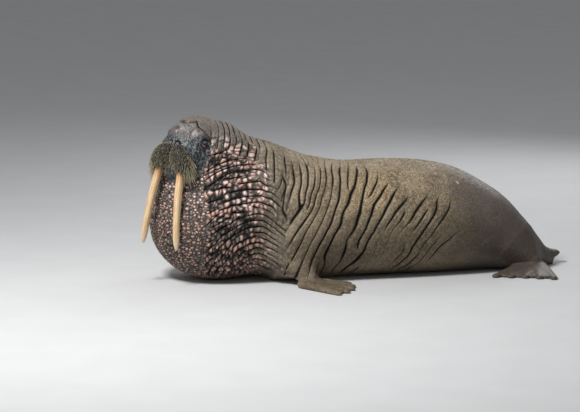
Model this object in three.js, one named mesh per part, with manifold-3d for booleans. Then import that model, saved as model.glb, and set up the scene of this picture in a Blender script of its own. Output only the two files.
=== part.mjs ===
// A bull walrus, life size: belly on the floor, chest up, head raised and turned to its left.
// Millimetres, +Z up. The animal faces -Y and its left side is +X. The origin is the middle of the footprint.
import * as THREE from "three";
import { LoftGeometry } from "three/addons/geometries/LoftGeometry.js";
import { mergeVertices } from "three/addons/utils/BufferGeometryUtils.js";
import Module from "manifold-3d";

const wasm = await Module();
wasm.setup();

// Driving dimensions
const GAP = 0.3; // between touching solids
const HALF_GAP = GAP / 2;
const SIDES = { left: 1, right: -1 };
const FOOTPRINT = new THREE.Vector3(0, 150, 0); // its middle, in the sizes below

// The back line and girth of the trunk, from the shoulders to the tail: y, top of back, half width
const TRUNK = [
  [-420, 774, 400],
  [-271, 766, 428],
  [-136, 742, 438],
  [60, 738, 440],
  [339, 742, 434],
  [474, 738, 426],
  [610, 728, 412],
  [745, 704, 392],
  [858, 670, 370],
  [960, 620, 342],
  [1062, 560, 310],
  [1130, 514, 286],
  [1200, 455, 258],
  [1290, 356, 216],
  [1390, 236, 162],
  [1470, 130, 104],
  [1530, 60, 50],
];
const BELLY = 0.46; // height of the widest part of the trunk, as a share of its top
const BELLY_SINK = 16; // how far the soft belly would reach below the floor it is pressed flat on
const TRUNK_FLATNESS = 2.25; // exponent of the superellipse that is the trunk's section

// The masses in front of the trunk, as ellipsoids. A fillet says how softly a mass joins those before it.
const SHOULDERS = { at: [0, -300, 380], radii: [430, 430, 384], fillet: 160 };
const NECK_BASE = { at: [14, -560, 512], radii: [388, 350, 398], fillet: 150 };
const CHEST = { at: [20, -782, 372], radii: [412, 426, 382], fillet: 130 };
const NAPE = { at: [30, -762, 737], radii: [262, 232, 298], fillet: 100 };
const THROAT = { at: [32, -890, 574], radii: [280, 278, 262], fillet: 100 };
const TAIL = { at: [0, 1500, 70], radii: [46, 90, 32], fillet: 50 };

// The head: where it sits, and how it is turned to its left, raised and leant
const HEAD = { at: new THREE.Vector3(115, -958, 924), turn: 43, lift: 16, lean: 5, fillet: 60 };

// The masses of the head, in its own frame: forward, to its left, up. Those off its middle are on both sides.
const CRANIUM = { at: [-76, 0, 26], radii: [182, 152, 145] };
const FOREHEAD = { at: [6, 0, 36], radii: [116, 118, 84], fillet: 50 };
const SNOUT = { at: [78, 0, -54], radii: [86, 132, 88], fillet: 50 };
const MUZZLE = { at: [90, 0, -112], radii: [96, 122, 100], fillet: 40 };
const NOSE = { at: [112, 0, -38], radii: [48, 60, 38], fillet: 28 };
const JAW = { at: [74, 0, -214], radii: [80, 62, 54], fillet: 22 };
const BROW = { at: [28, 102, 26], radii: [62, 45, 46], fillet: 30 };
const CHEEK = { at: [0, 92, -112], radii: [136, 62, 116], fillet: 50 };
const PAD = { at: [142, 58, -118], radii: [80, 66, 66], fillet: 18 }; // of bristles, beside the cleft
const JOWL = { at: [118, 98, -170], radii: [76, 62, 72], fillet: 60 }; // the pad's lower outer corner
const EYE = { at: [30, 139, -10], radius: 19 };

const TUSK = {
  root: [133, 76, -120],
  drop: 595, // from the root to the tip, straight down the head's own axis
  spread: 0.1, // sideways for each unit of drop
  lean: -0.12, // forward for each unit of drop
  bow: 26, // how far the middle bows forward
  thick: 32, // half the front-to-back width at the lip
  thin: 26, // half the side-to-side width at the lip
  slimming: 0.25, // share of the width lost from lip to tip
  point: 0.86, // share of the length where the tip starts to round off
  rings: 10,
  sides: 10,
};

// The flippers lie flat on the floor. Digits: where each starts across the wrist, its bearing and its length.
const FORE_FLIPPER = {
  wrist: [478, -250],
  points: 46, // degrees back from straight out
  digits: [
    [-56, -20, 345],
    [-30, -9, 342],
    [-2, 3, 318],
    [26, 15, 284],
    [52, 28, 238],
  ],
  thick: [54, 25], // a digit's half width at wrist and tip
  flat: 1.75, // how much wider than high a digit is
  space: { reach: [48, 420], spread: [150, 230], lid: 125 },
  nail: { radius: 6, length: 22, back: 20 }, // back: how far behind the digit's tip its middle is
};
const HIND_FLIPPER = {
  wrist: [205, 1330],
  points: -25,
  digits: [
    [-50, -22, 395],
    [-26, -11, 366],
    [0, 0, 350],
    [26, 11, 362],
    [50, 22, 385],
  ],
  thick: [56, 26],
  flat: 1.75,
  space: { reach: [84, 460], spread: [142, 250], lid: 74 },
  nail: { radius: 7, length: 30, back: 24 },
};
const WEB = { reach: 0.93, thick: 0.78 }; // of the skin between two digits, as shares of theirs
const FOREARM = { from: [330, -330, 205], to: [474, -248, 54], radii: [155, 60], fillet: 110 };
const SHIN = { from: [140, 1215, 150], to: [212, 1322, 56], radii: [150, 66], fillet: 90 };
const WRIST_FILLET = 36;
const DIGIT_FILLET = 22;
const DIGIT_LIFT = 0.7; // height of a digit's middle line, as a share of its half width
const NAIL_SIDES = 7;
const NAIL_DIP = 0.12; // radians down towards the tip

// Where the body is divided
const SHOULDER_CUT = -420;
const HIP_CUT = 840;
const TAIL_CUT = 1440;
const CHEST_TOP = 470;
const HEAD_BLOCK = { min: [-125, -330, -270], max: [420, 380, 320] };
const JAW_BLOCK = { min: [-60, -56, -300], max: [180, 56, -196] };
const LIMBS = {
  fore: { shape: FORE_FLIPPER, min: [402, -490, -100], max: [700, -30, 300] },
  hind: { shape: HIND_FLIPPER, min: [212, 1150, -100], max: [420, 1450, 190] },
};
const FAR = 4000;
const UNDER = 200; // how far a flipper's space reaches below the floor

// How finely each stretch is faceted
const BODY_GRID = { min: [-640, -1330, -115], max: [640, 1700, 1180], cell: [92, 104, 92] };
const HEAD_GRID = { min: [-170, -352, -320], max: [284, 420, 264], cell: [31, 31, 31] };
const LEG_CELL = [52, 52, 52];
const FLIPPER_CELL = [50, 50, 13];
const FLIPPER_HEIGHTS = [-41, 151];
const MARGIN = 40; // how far a grid reaches past the space that its stretch is cut to

const COLOURS = {
  skin: 0x6e6152,
  neck: 0x7d6558,
  face: 0x4b4a49,
  tusk: 0xd8ae78,
  eye: 0x1d1512,
  nail: 0x3a302a,
};

// Ellipsoid: a signed distance, in the frame of its own axes
function ellipsoid({ at, radii }, x, y, z, side = 1) {
  const px = x - at[0];
  const py = y - at[1] * side;
  const pz = z - at[2];
  const k0 = Math.hypot(px / radii[0], py / radii[1], pz / radii[2]);
  const k1 = Math.hypot(px / radii[0] ** 2, py / radii[1] ** 2, pz / radii[2] ** 2);
  return k1 < 1e-9 ? -Math.min(...radii) : (k0 * (k0 - 1)) / k1;
}

// Union of two fields with a fillet
function blend(a, b, fillet) {
  const near = Math.max(fillet - Math.abs(a - b), 0) / fillet;
  return Math.min(a, b) - (near * near * fillet) / 4;
}

// Cone with round ends
function roundCone({ from, to, radii }, x, y, z) {
  const d = [to[0] - from[0], to[1] - from[1], to[2] - from[2]];
  const p = [x - from[0], y - from[1], z - from[2]];
  const share = (p[0] * d[0] + p[1] * d[1] + p[2] * d[2]) / (d[0] ** 2 + d[1] ** 2 + d[2] ** 2);
  const t = THREE.MathUtils.clamp(share, 0, 1);
  const away = Math.hypot(p[0] - d[0] * t, p[1] - d[1] * t, p[2] - d[2] * t);
  return away - THREE.MathUtils.lerp(radii[0], radii[1], t);
}

// Smooth curve through rows of numbers, the first number being where each row stands
function along(rows, at) {
  const last = rows.length - 1;
  const clamped = THREE.MathUtils.clamp(at, rows[0][0], rows[last][0]);
  let i = 0;
  while (i < last - 1 && rows[i + 1][0] < clamped) i++;
  const span = rows[i + 1][0] - rows[i][0];
  const t = (clamped - rows[i][0]) / span;
  const slope = (j, k) => {
    const a = Math.max(j - 1, 0);
    const b = Math.min(j + 1, last);
    return (rows[b][k] - rows[a][k]) / (rows[b][0] - rows[a][0]);
  };
  const hermite = (k) => {
    const [p, q, m, n] = [rows[i][k], rows[i + 1][k], slope(i, k) * span, slope(i + 1, k) * span];
    return p + t * (m + t * (3 * (q - p) - 2 * m - n + t * (2 * (p - q) + m + n)));
  };
  return rows[0].slice(1).map((_, k) => hermite(k + 1));
}

function trunk(x, y, z) {
  const [top, halfWidth] = along(TRUNK, y);
  const middle = top * BELLY;
  const halfHeight = z > middle ? top - middle : middle + BELLY_SINK;
  const px = Math.abs(x) / halfWidth;
  const pz = Math.abs(z - middle) / halfHeight;
  const share = (px ** TRUNK_FLATNESS + pz ** TRUNK_FLATNESS) ** (1 / TRUNK_FLATNESS);
  const radius = Math.hypot(x, z - middle) / Math.max(share, 1e-6);
  const ends = Math.max(TRUNK[0][0] - y, y - TRUNK.at(-1)[0]);
  return Math.max((share - 1) * radius, ends);
}

const headFrame = new THREE.Matrix4();
{
  const rad = THREE.MathUtils.degToRad;
  const level = new THREE.Vector3(Math.sin(rad(HEAD.turn)), -Math.cos(rad(HEAD.turn)), 0);
  const up = new THREE.Vector3(0, 0, 1);
  const left = new THREE.Vector3().crossVectors(up, level);
  const forward = level.clone().applyAxisAngle(left, -rad(HEAD.lift));
  up.applyAxisAngle(left, -rad(HEAD.lift));
  left.applyAxisAngle(forward, -rad(HEAD.lean));
  up.applyAxisAngle(forward, -rad(HEAD.lean));
  headFrame.makeBasis(forward, left, up).setPosition(HEAD.at);
}
const toHead = headFrame.clone().invert();
const headPoint = new THREE.Vector3();

function head(x, y, z) {
  const { x: f, y: l, z: u } = headPoint.set(x, y, z).applyMatrix4(toHead);
  let d = ellipsoid(CRANIUM, f, l, u);
  for (const mass of [FOREHEAD, SNOUT, MUZZLE, NOSE, JAW]) {
    d = blend(d, ellipsoid(mass, f, l, u), mass.fillet);
  }
  const sides = Object.values(SIDES);
  for (const side of sides) {
    for (const mass of [BROW, CHEEK]) d = blend(d, ellipsoid(mass, f, l, u, side), mass.fillet);
  }
  for (const side of sides) {
    const pad = blend(ellipsoid(PAD, f, l, u, side), ellipsoid(JOWL, f, l, u, side), JOWL.fillet);
    d = blend(d, pad, PAD.fillet);
  }
  return d;
}

// A flipper laid flat: five digits, and a thinner and shorter finger of web between each two
function flipper({ wrist, points, digits, thick, flat }, x, y, z) {
  const turn = THREE.MathUtils.degToRad(points);
  const px = x - wrist[0];
  const py = y - wrist[1];
  const out = px * Math.cos(turn) + py * Math.sin(turn);
  const across = -px * Math.sin(turn) + py * Math.cos(turn);
  let d = Infinity;
  for (let i = 0; i < digits.length - 0.5; i += 0.5) {
    const web = i % 1 > 0;
    const [a, b] = [digits[Math.floor(i)], digits[Math.ceil(i)]];
    const [start, bearing, length] = a.map((value, k) => (value + b[k]) / 2);
    const angle = THREE.MathUtils.degToRad(bearing);
    const reach = web ? length * WEB.reach : length;
    const radii = thick.map((r) => (web ? r * WEB.thick : r));
    const [high, low] = thick.map((r) => r * DIGIT_LIFT);
    const to = [Math.cos(angle) * reach, start + Math.sin(angle) * reach, low];
    const finger = roundCone({ from: [0, start, high], to, radii }, out, across, z * flat);
    d = i ? blend(d, finger, DIGIT_FILLET) : finger;
  }
  return d;
}

// The whole animal without its flippers
function torso(x, y, z) {
  let d = trunk(x, y, z);
  for (const mass of [SHOULDERS, NECK_BASE, CHEST, NAPE, THROAT, TAIL]) {
    d = blend(d, ellipsoid(mass, x, y, z), mass.fillet);
  }
  for (const bone of [SHIN, FOREARM]) d = blend(d, roundCone(bone, Math.abs(x), y, z), bone.fillet);
  return blend(d, head(x, y, z), HEAD.fillet);
}

// The animal with one pair of flippers
function withFlippers(shape, x, y, z) {
  return blend(torso(x, y, z), flipper(shape, Math.abs(x), y, z), WRIST_FILLET);
}

// A field sampled on a grid. The rim counts as outside, so that the surface closes there.
function sample(field, { min, max, cell }) {
  const [nx, ny, nz] = [0, 1, 2].map((q) => Math.ceil((max[q] - min[q]) / cell[q]) + 1);
  const at = (...steps) => steps.map((n, q) => min[q] + n * cell[q]);
  const index = (i, j, k) => (k * ny + j) * nx + i;
  const values = new Float32Array(nx * ny * nz);
  const each = (visit) => {
    for (let k = 0; k < nz; k++) for (let j = 0; j < ny; j++) for (let i = 0; i < nx; i++) visit(i, j, k);
  };
  each((i, j, k) => {
    const rim = !i || !j || !k || i === nx - 1 || j === ny - 1 || k === nz - 1;
    const d = field(...at(i, j, k));
    values[index(i, j, k)] = rim ? Math.max(d, 1) : d;
  });
  return { at, index, values, last: [nx - 1, ny - 1, nz - 1], each };
}

const CORNERS = [0, 1, 2, 3, 4, 5, 6, 7].map((c) => [c & 1, (c >> 1) & 1, (c >> 2) & 1]);
const EDGES = CORNERS.flatMap((_, a) => [1, 2, 4].filter((bit) => !(a & bit)).map((bit) => [a, a | bit]));
const AXES = [0, 1, 2].map((q) => [0, 1, 2].map((r) => Number(q === r)));

// The middle of the places where a cell's edges cross the surface, in cells from its first corner
function crossing(v) {
  const sum = [0, 0, 0];
  let count = 0;
  for (const [a, b] of EDGES) {
    if (v[a] < 0 === v[b] < 0) continue;
    const t = v[a] / (v[a] - v[b]);
    for (let q = 0; q < 3; q++) sum[q] += CORNERS[a][q] + t * (CORNERS[b][q] - CORNERS[a][q]);
    count++;
  }
  return count ? sum.map((s) => s / count) : null;
}

// Closed surface of a field inside a grid: a vertex in each cell that it crosses, moved onto the field's own
// surface, and a pair of triangles over each grid edge that it crosses
function fieldGeometry(field, grid) {
  const { at, index, values, last, each } = sample(field, grid);
  const furthest = Math.min(...grid.cell) * 0.6;
  const vertexOf = new Map();
  const positions = [];
  each((i, j, k) => {
    if (i === last[0] || j === last[1] || k === last[2]) return;
    const middle = crossing(CORNERS.map(([a, b, c]) => values[index(i + a, j + b, k + c)]));
    if (!middle) return;
    vertexOf.set(index(i, j, k), positions.length / 3);
    const start = at(i + middle[0], j + middle[1], k + middle[2]);
    const onRim = [i, j, k].some((n, q) => n === 0 || n === last[q] - 1);
    positions.push(...(onRim ? start : settle(field, start, furthest)));
  });
  const faces = [];
  each((i, j, k) => {
    if (i === last[0] || j === last[1] || k === last[2]) return;
    const inside = values[index(i, j, k)] < 0;
    for (let q = 0; q < 3; q++) {
      const [a, b, c] = AXES[q];
      if (inside === values[index(i + a, j + b, k + c)] < 0) continue;
      const [u, w] = [AXES[(q + 1) % 3], AXES[(q + 2) % 3]];
      const cellBack = (m, n) => vertexOf.get(index(...[i, j, k].map((v, r) => v - m * u[r] - n * w[r])));
      const quad = [cellBack(0, 0), cellBack(1, 0), cellBack(1, 1), cellBack(0, 1)];
      if (!inside) quad.reverse();
      faces.push(quad[0], quad[1], quad[2], quad[0], quad[2], quad[3]);
    }
  });
  const geometry = new THREE.BufferGeometry();
  geometry.setAttribute("position", new THREE.Float32BufferAttribute(positions, 3));
  geometry.setIndex(faces);
  return geometry;
}

// Moves a point onto the field's surface along its gradient, each time by no more than the furthest step
function settle(field, [x, y, z], furthest) {
  const step = 0.5;
  for (let turn = 0; turn < 3; turn++) {
    const d = field(x, y, z);
    const g = [
      (field(x + step, y, z) - field(x - step, y, z)) / (2 * step),
      (field(x, y + step, z) - field(x, y - step, z)) / (2 * step),
      (field(x, y, z + step) - field(x, y, z - step)) / (2 * step),
    ];
    const length = Math.hypot(...g);
    if (length < 0.2) break;
    const move = THREE.MathUtils.clamp(d / length, -furthest, furthest) / length;
    x -= g[0] * move;
    y -= g[1] * move;
    z -= g[2] * move;
  }
  return [x, y, z];
}

// The same on a grid that lies in another frame
function framedGeometry(field, frame, grid) {
  const p = new THREE.Vector3();
  const seen = (x, y, z) => {
    p.set(x, y, z).applyMatrix4(frame);
    return field(p.x, p.y, p.z);
  };
  return place(fieldGeometry(seen, grid), frame);
}

// Moves a geometry into a frame, keeping its faces outward where the frame is a mirror
function place(geometry, frame) {
  geometry.applyMatrix4(frame);
  const index = geometry.index.array;
  if (frame.determinant() < 0) {
    for (let i = 0; i < index.length; i += 3) [index[i], index[i + 1]] = [index[i + 1], index[i]];
  }
  return geometry;
}

function toSolid(geometry) {
  geometry.deleteAttribute("normal");
  geometry.deleteAttribute("uv");
  const merged = mergeVertices(geometry, 1e-3);
  const vertProperties = new Float32Array(merged.attributes.position.array);
  const triVerts = new Uint32Array(merged.index.array);
  return new wasm.Manifold(new wasm.Mesh({ numProp: 3, vertProperties, triVerts }));
}

function toGeometry(solid) {
  const mesh = solid.getMesh();
  const geometry = new THREE.BufferGeometry();
  geometry.setAttribute("position", new THREE.Float32BufferAttribute(mesh.vertProperties, 3));
  geometry.setIndex(new THREE.BufferAttribute(mesh.triVerts, 1));
  return geometry;
}

// Frames whose right side is the mirror of the left
const sideFrame = (side) => new THREE.Matrix4().makeScale(side, 1, 1);
const headSide = (side) => headFrame.clone().scale(new THREE.Vector3(1, side, 1));

// A block of space as a solid, with each face moved out by grow, or in where that is negative
function block(min, max, grow = -HALF_GAP, frame = sideFrame(1)) {
  const [x, y, z] = min.map((low, q) => max[q] - low + 2 * grow);
  const centre = min.map((low, q) => (max[q] + low) / 2);
  return toSolid(place(new THREE.BoxGeometry(x, y, z).translate(...centre), frame));
}

// The frame of a flipper: out along the middle digit, across it, and up
function flipperFrame({ wrist, points }, side) {
  const frame = new THREE.Matrix4().makeRotationZ(THREE.MathUtils.degToRad(points));
  return sideFrame(side).multiply(frame.setPosition(wrist[0], wrist[1], 0));
}

// The space a flipper takes up: a wedge on the floor that opens outwards
function flipperBlock({ reach, spread, lid }, frame, grow = -HALF_GAP) {
  const [near, far] = [reach[0] - grow, reach[1] + grow];
  const [narrow, wide] = spread.map((s) => s + grow);
  const outline = new THREE.Shape();
  outline.moveTo(near, -narrow).lineTo(far, -wide).lineTo(far, wide).lineTo(near, narrow);
  const depth = UNDER + lid + grow;
  const wedge = new THREE.ExtrudeGeometry(outline, { depth, bevelEnabled: false }).translate(0, 0, -UNDER);
  return toSolid(place(mergeVertices(wedge), frame));
}

// A tusk as a loft of ovals, thicker all round by grow
function tusk(side, grow = 0) {
  const { root, drop, spread, lean, bow, thick, thin, slimming, point, rings, sides } = TUSK;
  const sections = [];
  for (let ring = 0; ring <= rings; ring++) {
    const t = ring / rings;
    const rounding = 0.75 * (Math.max(t - point, 0) / (1 - point)) ** 2;
    const size = Math.max(1 - slimming * t - rounding, 0.2);
    const fall = ring ? drop * t : -grow;
    const f = root[0] + lean * fall + bow * 4 * t * (1 - t);
    const l = root[1] + spread * fall;
    const rim = [];
    for (let i = 0; i < sides; i++) {
      const a = (-i / sides) * 2 * Math.PI;
      const [along, across] = [Math.cos(a) * (thick * size + grow), Math.sin(a) * (thin * size + grow)];
      rim.push(new THREE.Vector3(f + along, l + across, root[2] - fall));
    }
    sections.push(rim);
  }
  const loft = new LoftGeometry(sections, { capStart: true, capEnd: true });
  return toSolid(place(new THREE.BufferGeometry().copy(loft), headSide(side)));
}

function eye(side, grow = 0) {
  const ball = new THREE.SphereGeometry(EYE.radius + grow, 10, 7);
  return toSolid(place(ball.translate(...EYE.at), headSide(side)));
}

// A nail as a cone lying along its digit, half sunk in the skin
function nail(shape, i, side, grow = 0) {
  const [start, bearing, reach] = shape.digits[i];
  const { radius, length, back } = shape.nail;
  const angle = THREE.MathUtils.degToRad(bearing);
  const cone = new THREE.ConeGeometry(radius + grow, length + 2 * grow, NAIL_SIDES).rotateZ(-Math.PI / 2);
  cone.rotateY(NAIL_DIP).rotateZ(angle);
  const out = reach - back;
  const top = (shape.thick[1] * (1 + DIGIT_LIFT)) / shape.flat;
  cone.translate(Math.cos(angle) * out, start + Math.sin(angle) * out, top);
  return toSolid(place(cone, flipperFrame(shape, side)));
}

const group = new THREE.Group();

function add(name, solid, color, roughness = 0.8) {
  const mesh = new THREE.Mesh(toGeometry(solid), new THREE.MeshStandardMaterial({ color, roughness }));
  mesh.name = name;
  group.add(mesh);
}

const aboveFloor = block([-FAR, -FAR, 0], [FAR, FAR, FAR], 0);
const between = (y0, y1, z0 = -FAR, z1 = FAR) => block([-FAR, y0, z0], [FAR, y1, z1]);

// One flipper with its nails
function addFlipper(which, name, shape, field, frame) {
  const { reach, spread } = shape.space;
  const wide = spread[1] + MARGIN;
  const [low, high] = FLIPPER_HEIGHTS;
  const min = [reach[0] - MARGIN, -wide, low];
  const max = [reach[1] + MARGIN, wide, high];
  const grid = { min, max, cell: FLIPPER_CELL };
  const slab = toSolid(framedGeometry(field, frame, grid));
  let solid = slab.intersect(flipperBlock(shape.space, frame)).intersect(aboveFloor);
  for (let i = 0; i < shape.digits.length; i++) {
    solid = solid.subtract(nail(shape, i, SIDES[name], GAP));
    add(`${which}_nail_${name}_${i + 1}`, nail(shape, i, SIDES[name]), COLOURS.nail, 0.4);
  }
  add(`${which}flipper_${name}`, solid, COLOURS.skin);
}

// One limb between the body and its flipper
function addLeg(which, name, { min, max, shape }, field, frame) {
  const side = sideFrame(SIDES[name]);
  const grid = { min: min.map((v) => v - MARGIN), max: max.map((v) => v + MARGIN), cell: LEG_CELL };
  const leg = toSolid(framedGeometry(field, side, grid))
    .intersect(block(min, max, -HALF_GAP, side))
    .subtract(flipperBlock(shape.space, frame, HALF_GAP))
    .intersect(aboveFloor);
  add(`${which}leg_${name}`, leg, COLOURS.skin);
}

let body = toSolid(fieldGeometry(torso, BODY_GRID)).intersect(aboveFloor);
for (const [which, limb] of Object.entries(LIMBS)) {
  const field = (x, y, z) => withFlippers(limb.shape, x, y, z);
  for (const [name, side] of Object.entries(SIDES)) {
    const frame = flipperFrame(limb.shape, side);
    addFlipper(which, name, limb.shape, field, frame);
    addLeg(which, name, limb, field, frame);
    body = body.subtract(flipperBlock(limb.shape.space, frame, HALF_GAP));
    body = body.subtract(block(limb.min, limb.max, HALF_GAP, sideFrame(side)));
  }
}
add("trunk", body.intersect(between(SHOULDER_CUT, HIP_CUT)), COLOURS.skin);
add("hindquarters", body.intersect(between(HIP_CUT, TAIL_CUT)), COLOURS.skin);
add("tail", body.intersect(between(TAIL_CUT, FAR)), COLOURS.skin);
const front = body.subtract(block(HEAD_BLOCK.min, HEAD_BLOCK.max, HALF_GAP, headFrame));
add("neck", front.intersect(between(-FAR, SHOULDER_CUT, CHEST_TOP)), COLOURS.neck);
add("chest", front.intersect(between(-FAR, SHOULDER_CUT, -FAR, CHEST_TOP)), COLOURS.neck);

let skull = toSolid(framedGeometry(torso, headFrame, HEAD_GRID));
skull = skull.intersect(block(HEAD_BLOCK.min, HEAD_BLOCK.max, -HALF_GAP, headFrame));
for (const [name, side] of Object.entries(SIDES)) {
  skull = skull.subtract(tusk(side, GAP)).subtract(eye(side, GAP));
  add(`tusk_${name}`, tusk(side), COLOURS.tusk, 0.45);
  add(`eye_${name}`, eye(side), COLOURS.eye, 0.1);
}
const { min: jawMin, max: jawMax } = JAW_BLOCK;
add("head", skull.subtract(block(jawMin, jawMax, HALF_GAP, headFrame)), COLOURS.face);
add("lower_jaw", skull.intersect(block(jawMin, jawMax, -HALF_GAP, headFrame)), COLOURS.face);

group.position.copy(FOOTPRINT).negate();
export default group;
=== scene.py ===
# A bull walrus, life size, lying on its belly with its chest up and its head raised and turned to its left.
# Shapes are worked out in millimetres, in the drawing's own frame; SHIFT and MM take them to the model's.
import math

import bmesh
import bpy
import numpy as np
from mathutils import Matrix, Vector


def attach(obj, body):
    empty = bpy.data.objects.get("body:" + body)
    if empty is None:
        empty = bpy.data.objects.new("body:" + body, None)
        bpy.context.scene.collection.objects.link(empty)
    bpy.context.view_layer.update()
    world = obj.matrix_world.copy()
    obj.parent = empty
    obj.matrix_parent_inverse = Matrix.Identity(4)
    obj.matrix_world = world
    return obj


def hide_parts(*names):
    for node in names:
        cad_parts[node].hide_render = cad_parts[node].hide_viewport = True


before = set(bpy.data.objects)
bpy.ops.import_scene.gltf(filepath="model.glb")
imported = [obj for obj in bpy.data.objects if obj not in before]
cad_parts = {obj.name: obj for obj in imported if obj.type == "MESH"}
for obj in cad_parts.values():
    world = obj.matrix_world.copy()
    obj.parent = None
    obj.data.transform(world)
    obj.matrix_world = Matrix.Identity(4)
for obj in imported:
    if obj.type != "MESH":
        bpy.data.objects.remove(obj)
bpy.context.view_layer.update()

MM = 0.001
SHIFT = np.array((0.0, -150.0, 0.0))
SIDES = {"left": 1, "right": -1}

# The camera: its bearing from the animal, how far away it is and how much it takes in
AZIMUTH, ELEVATION = math.radians(77), math.radians(9)
DISTANCE = 20.0
FRAME_WIDTH = 3.828
TARGET = Vector((-0.1258, -0.3918, 0.4302))

camera = bpy.data.objects.new("camera", bpy.data.cameras.new("camera"))
bpy.context.scene.collection.objects.link(camera)
level = math.cos(ELEVATION)
away = Vector((math.sin(AZIMUTH) * level, -math.cos(AZIMUTH) * level, math.sin(ELEVATION)))
camera.location = TARGET + away * DISTANCE
camera.rotation_euler = away.to_track_quat("Z", "Y").to_euler()
camera.data.sensor_width = 36
camera.data.lens = camera.data.sensor_width * DISTANCE / FRAME_WIDTH
camera.data.clip_end = 100
bpy.context.scene.camera = camera


# The body's shape, as in its solids
TRUNK = np.array([  # place along the body, height of the back, half width
    (-420, 774, 400), (-271, 766, 428), (-136, 742, 438), (60, 738, 440), (339, 742, 434),
    (474, 738, 426), (610, 728, 412), (745, 704, 392), (858, 670, 370), (960, 620, 342),
    (1062, 560, 310), (1130, 514, 286), (1200, 455, 258), (1290, 356, 216), (1390, 236, 162),
    (1470, 130, 104), (1530, 60, 50),
], float)
BELLY, BELLY_SINK, TRUNK_FLATNESS = 0.46, 16.0, 2.25
MASSES = [  # centre, radii, fillet
    ((0, -300, 380), (430, 430, 384), 160),
    ((14, -560, 512), (388, 350, 398), 150),
    ((20, -782, 372), (412, 426, 382), 130),
    ((30, -762, 737), (262, 232, 298), 100),
    ((32, -890, 574), (280, 278, 262), 100),
    ((0, 1500, 70), (46, 90, 32), 50),
]
HEAD_AT = np.array((115.0, -958.0, 924.0))
HEAD_TURN, HEAD_LIFT, HEAD_LEAN, HEAD_FILLET = 43, 16, 5, 60
SKULL = [  # centre, radii, fillet, in the head's own axes: forward, left and up
    ((-76, 0, 26), (182, 152, 145), 1),
    ((6, 0, 36), (116, 118, 84), 50),
    ((78, 0, -54), (86, 132, 88), 50),
    ((90, 0, -112), (96, 122, 100), 40),
    ((112, 0, -38), (48, 60, 38), 28),
    ((74, 0, -214), (80, 62, 54), 22),
]
# Lumps of the head: centre, radii, fillet
BROW = ((28, 102, 26), (62, 45, 46), 30)
CHEEK = ((0, 92, -112), (136, 62, 116), 50)
PAD = ((142, 58, -118), (80, 66, 66), 18)
JOWL = ((118, 98, -170), (76, 62, 72), 60)
EYE, EYE_RADIUS = np.array((30.0, 139.0, -10.0)), 19.0
FORE_FLIPPER = {  # each digit: where it starts across the wrist, its bearing and how far it reaches
    "wrist": (478, -250), "points": 46, "thick": (54, 25), "flat": 1.75, "nail": (6, 22, 20),
    "digits": np.array([
        (-56, -20, 345), (-30, -9, 342), (-2, 3, 318), (26, 15, 284), (52, 28, 238),
    ], float),
}
HIND_FLIPPER = {
    "wrist": (205, 1330), "points": -25, "thick": (56, 26), "flat": 1.75, "nail": (7, 30, 24),
    "digits": np.array([
        (-50, -22, 395), (-26, -11, 366), (0, 0, 350), (26, 11, 362), (50, 22, 385),
    ], float),
}
WEB_REACH, WEB_THICK, DIGIT_LIFT = 0.93, 0.78, 0.7
# Each limb: its two ends, the radius at each, and the fillet to the body
FOREARM = ((330, -330, 205), (474, -248, 54), (155, 60), 110)
SHIN = ((140, 1215, 150), (212, 1322, 56), (150, 66), 90)
WRIST_FILLET, DIGIT_FILLET = 36, 22
TRIM = 14.0  # the solids' facets end the digits this much sooner
COAT = 5.0  # how far the skin lies inside the solids


def dot(a, b):
    return (a * b).sum(-1)


def across_middle(q, axis):
    """Points folded over the middle, so that both sides of the body are one."""
    q = q.copy()
    q[..., axis] = np.abs(q[..., axis])
    return q


def only_near(centre, reach, field, p):
    """A field looked at only around its own part of the body, on either side, and large elsewhere."""
    offset = across_middle(p, 0) - centre
    close = dot(offset, offset) < reach * reach
    value = np.full(p.shape[:-1], 1000.0)
    value[close] = field(p[close])
    return value


def blend(a, b, fillet):
    near = np.maximum(fillet - np.abs(a - b), 0) / fillet
    return np.minimum(a, b) - near * near * fillet / 4


def ellipsoid(mass, p, side=1):
    centre, radii = np.array(mass[0], float) * (1, side, 1), np.array(mass[1], float)
    q = (p - centre) / radii
    k0 = np.sqrt(dot(q, q))
    k1 = np.sqrt(dot(q / radii, q / radii))
    return k0 * (k0 - 1) / np.maximum(k1, 1e-9)


def round_cone(start, end, radii, p):
    start = np.array(start, float)
    line = np.array(end, float) - start
    share = np.clip((p - start) @ line / (line @ line), 0, 1)
    away = np.linalg.norm(p - start - share[..., None] * line, axis=-1)
    return away - (radii[0] + (radii[1] - radii[0]) * share)


def along(rows, where):
    """Smooth curve through rows of numbers, the first number being where each row stands."""
    x, values = rows[:, 0], rows[:, 1:]
    where = np.clip(where, x[0], x[-1])
    i = np.clip(np.searchsorted(x, where) - 1, 0, len(x) - 2)
    low = np.maximum(np.arange(len(x)) - 1, 0)
    high = np.minimum(np.arange(len(x)) + 1, len(x) - 1)
    slope = (values[high] - values[low]) / (x[high] - x[low])[:, None]
    span = (x[i + 1] - x[i])[..., None]
    t = (where - x[i])[..., None] / span
    p, q, m, n = values[i], values[i + 1], slope[i] * span, slope[i + 1] * span
    return p + t * (m + t * (3 * (q - p) - 2 * m - n + t * (2 * (p - q) + m + n)))


def trunk(p):
    top, half_width = np.moveaxis(along(TRUNK, p[..., 1]), -1, 0)
    middle = top * BELLY
    rise = p[..., 2] - middle
    half_height = np.where(rise > 0, top - middle, middle + BELLY_SINK)
    across, up = np.abs(p[..., 0]) / half_width, np.abs(rise) / half_height
    share = (across**TRUNK_FLATNESS + up**TRUNK_FLATNESS) ** (1 / TRUNK_FLATNESS)
    radius = np.hypot(p[..., 0], rise) / np.maximum(share, 1e-6)
    ends = np.maximum(TRUNK[0, 0] - p[..., 1], p[..., 1] - TRUNK[-1, 0])
    return np.maximum((share - 1) * radius, ends)


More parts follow.
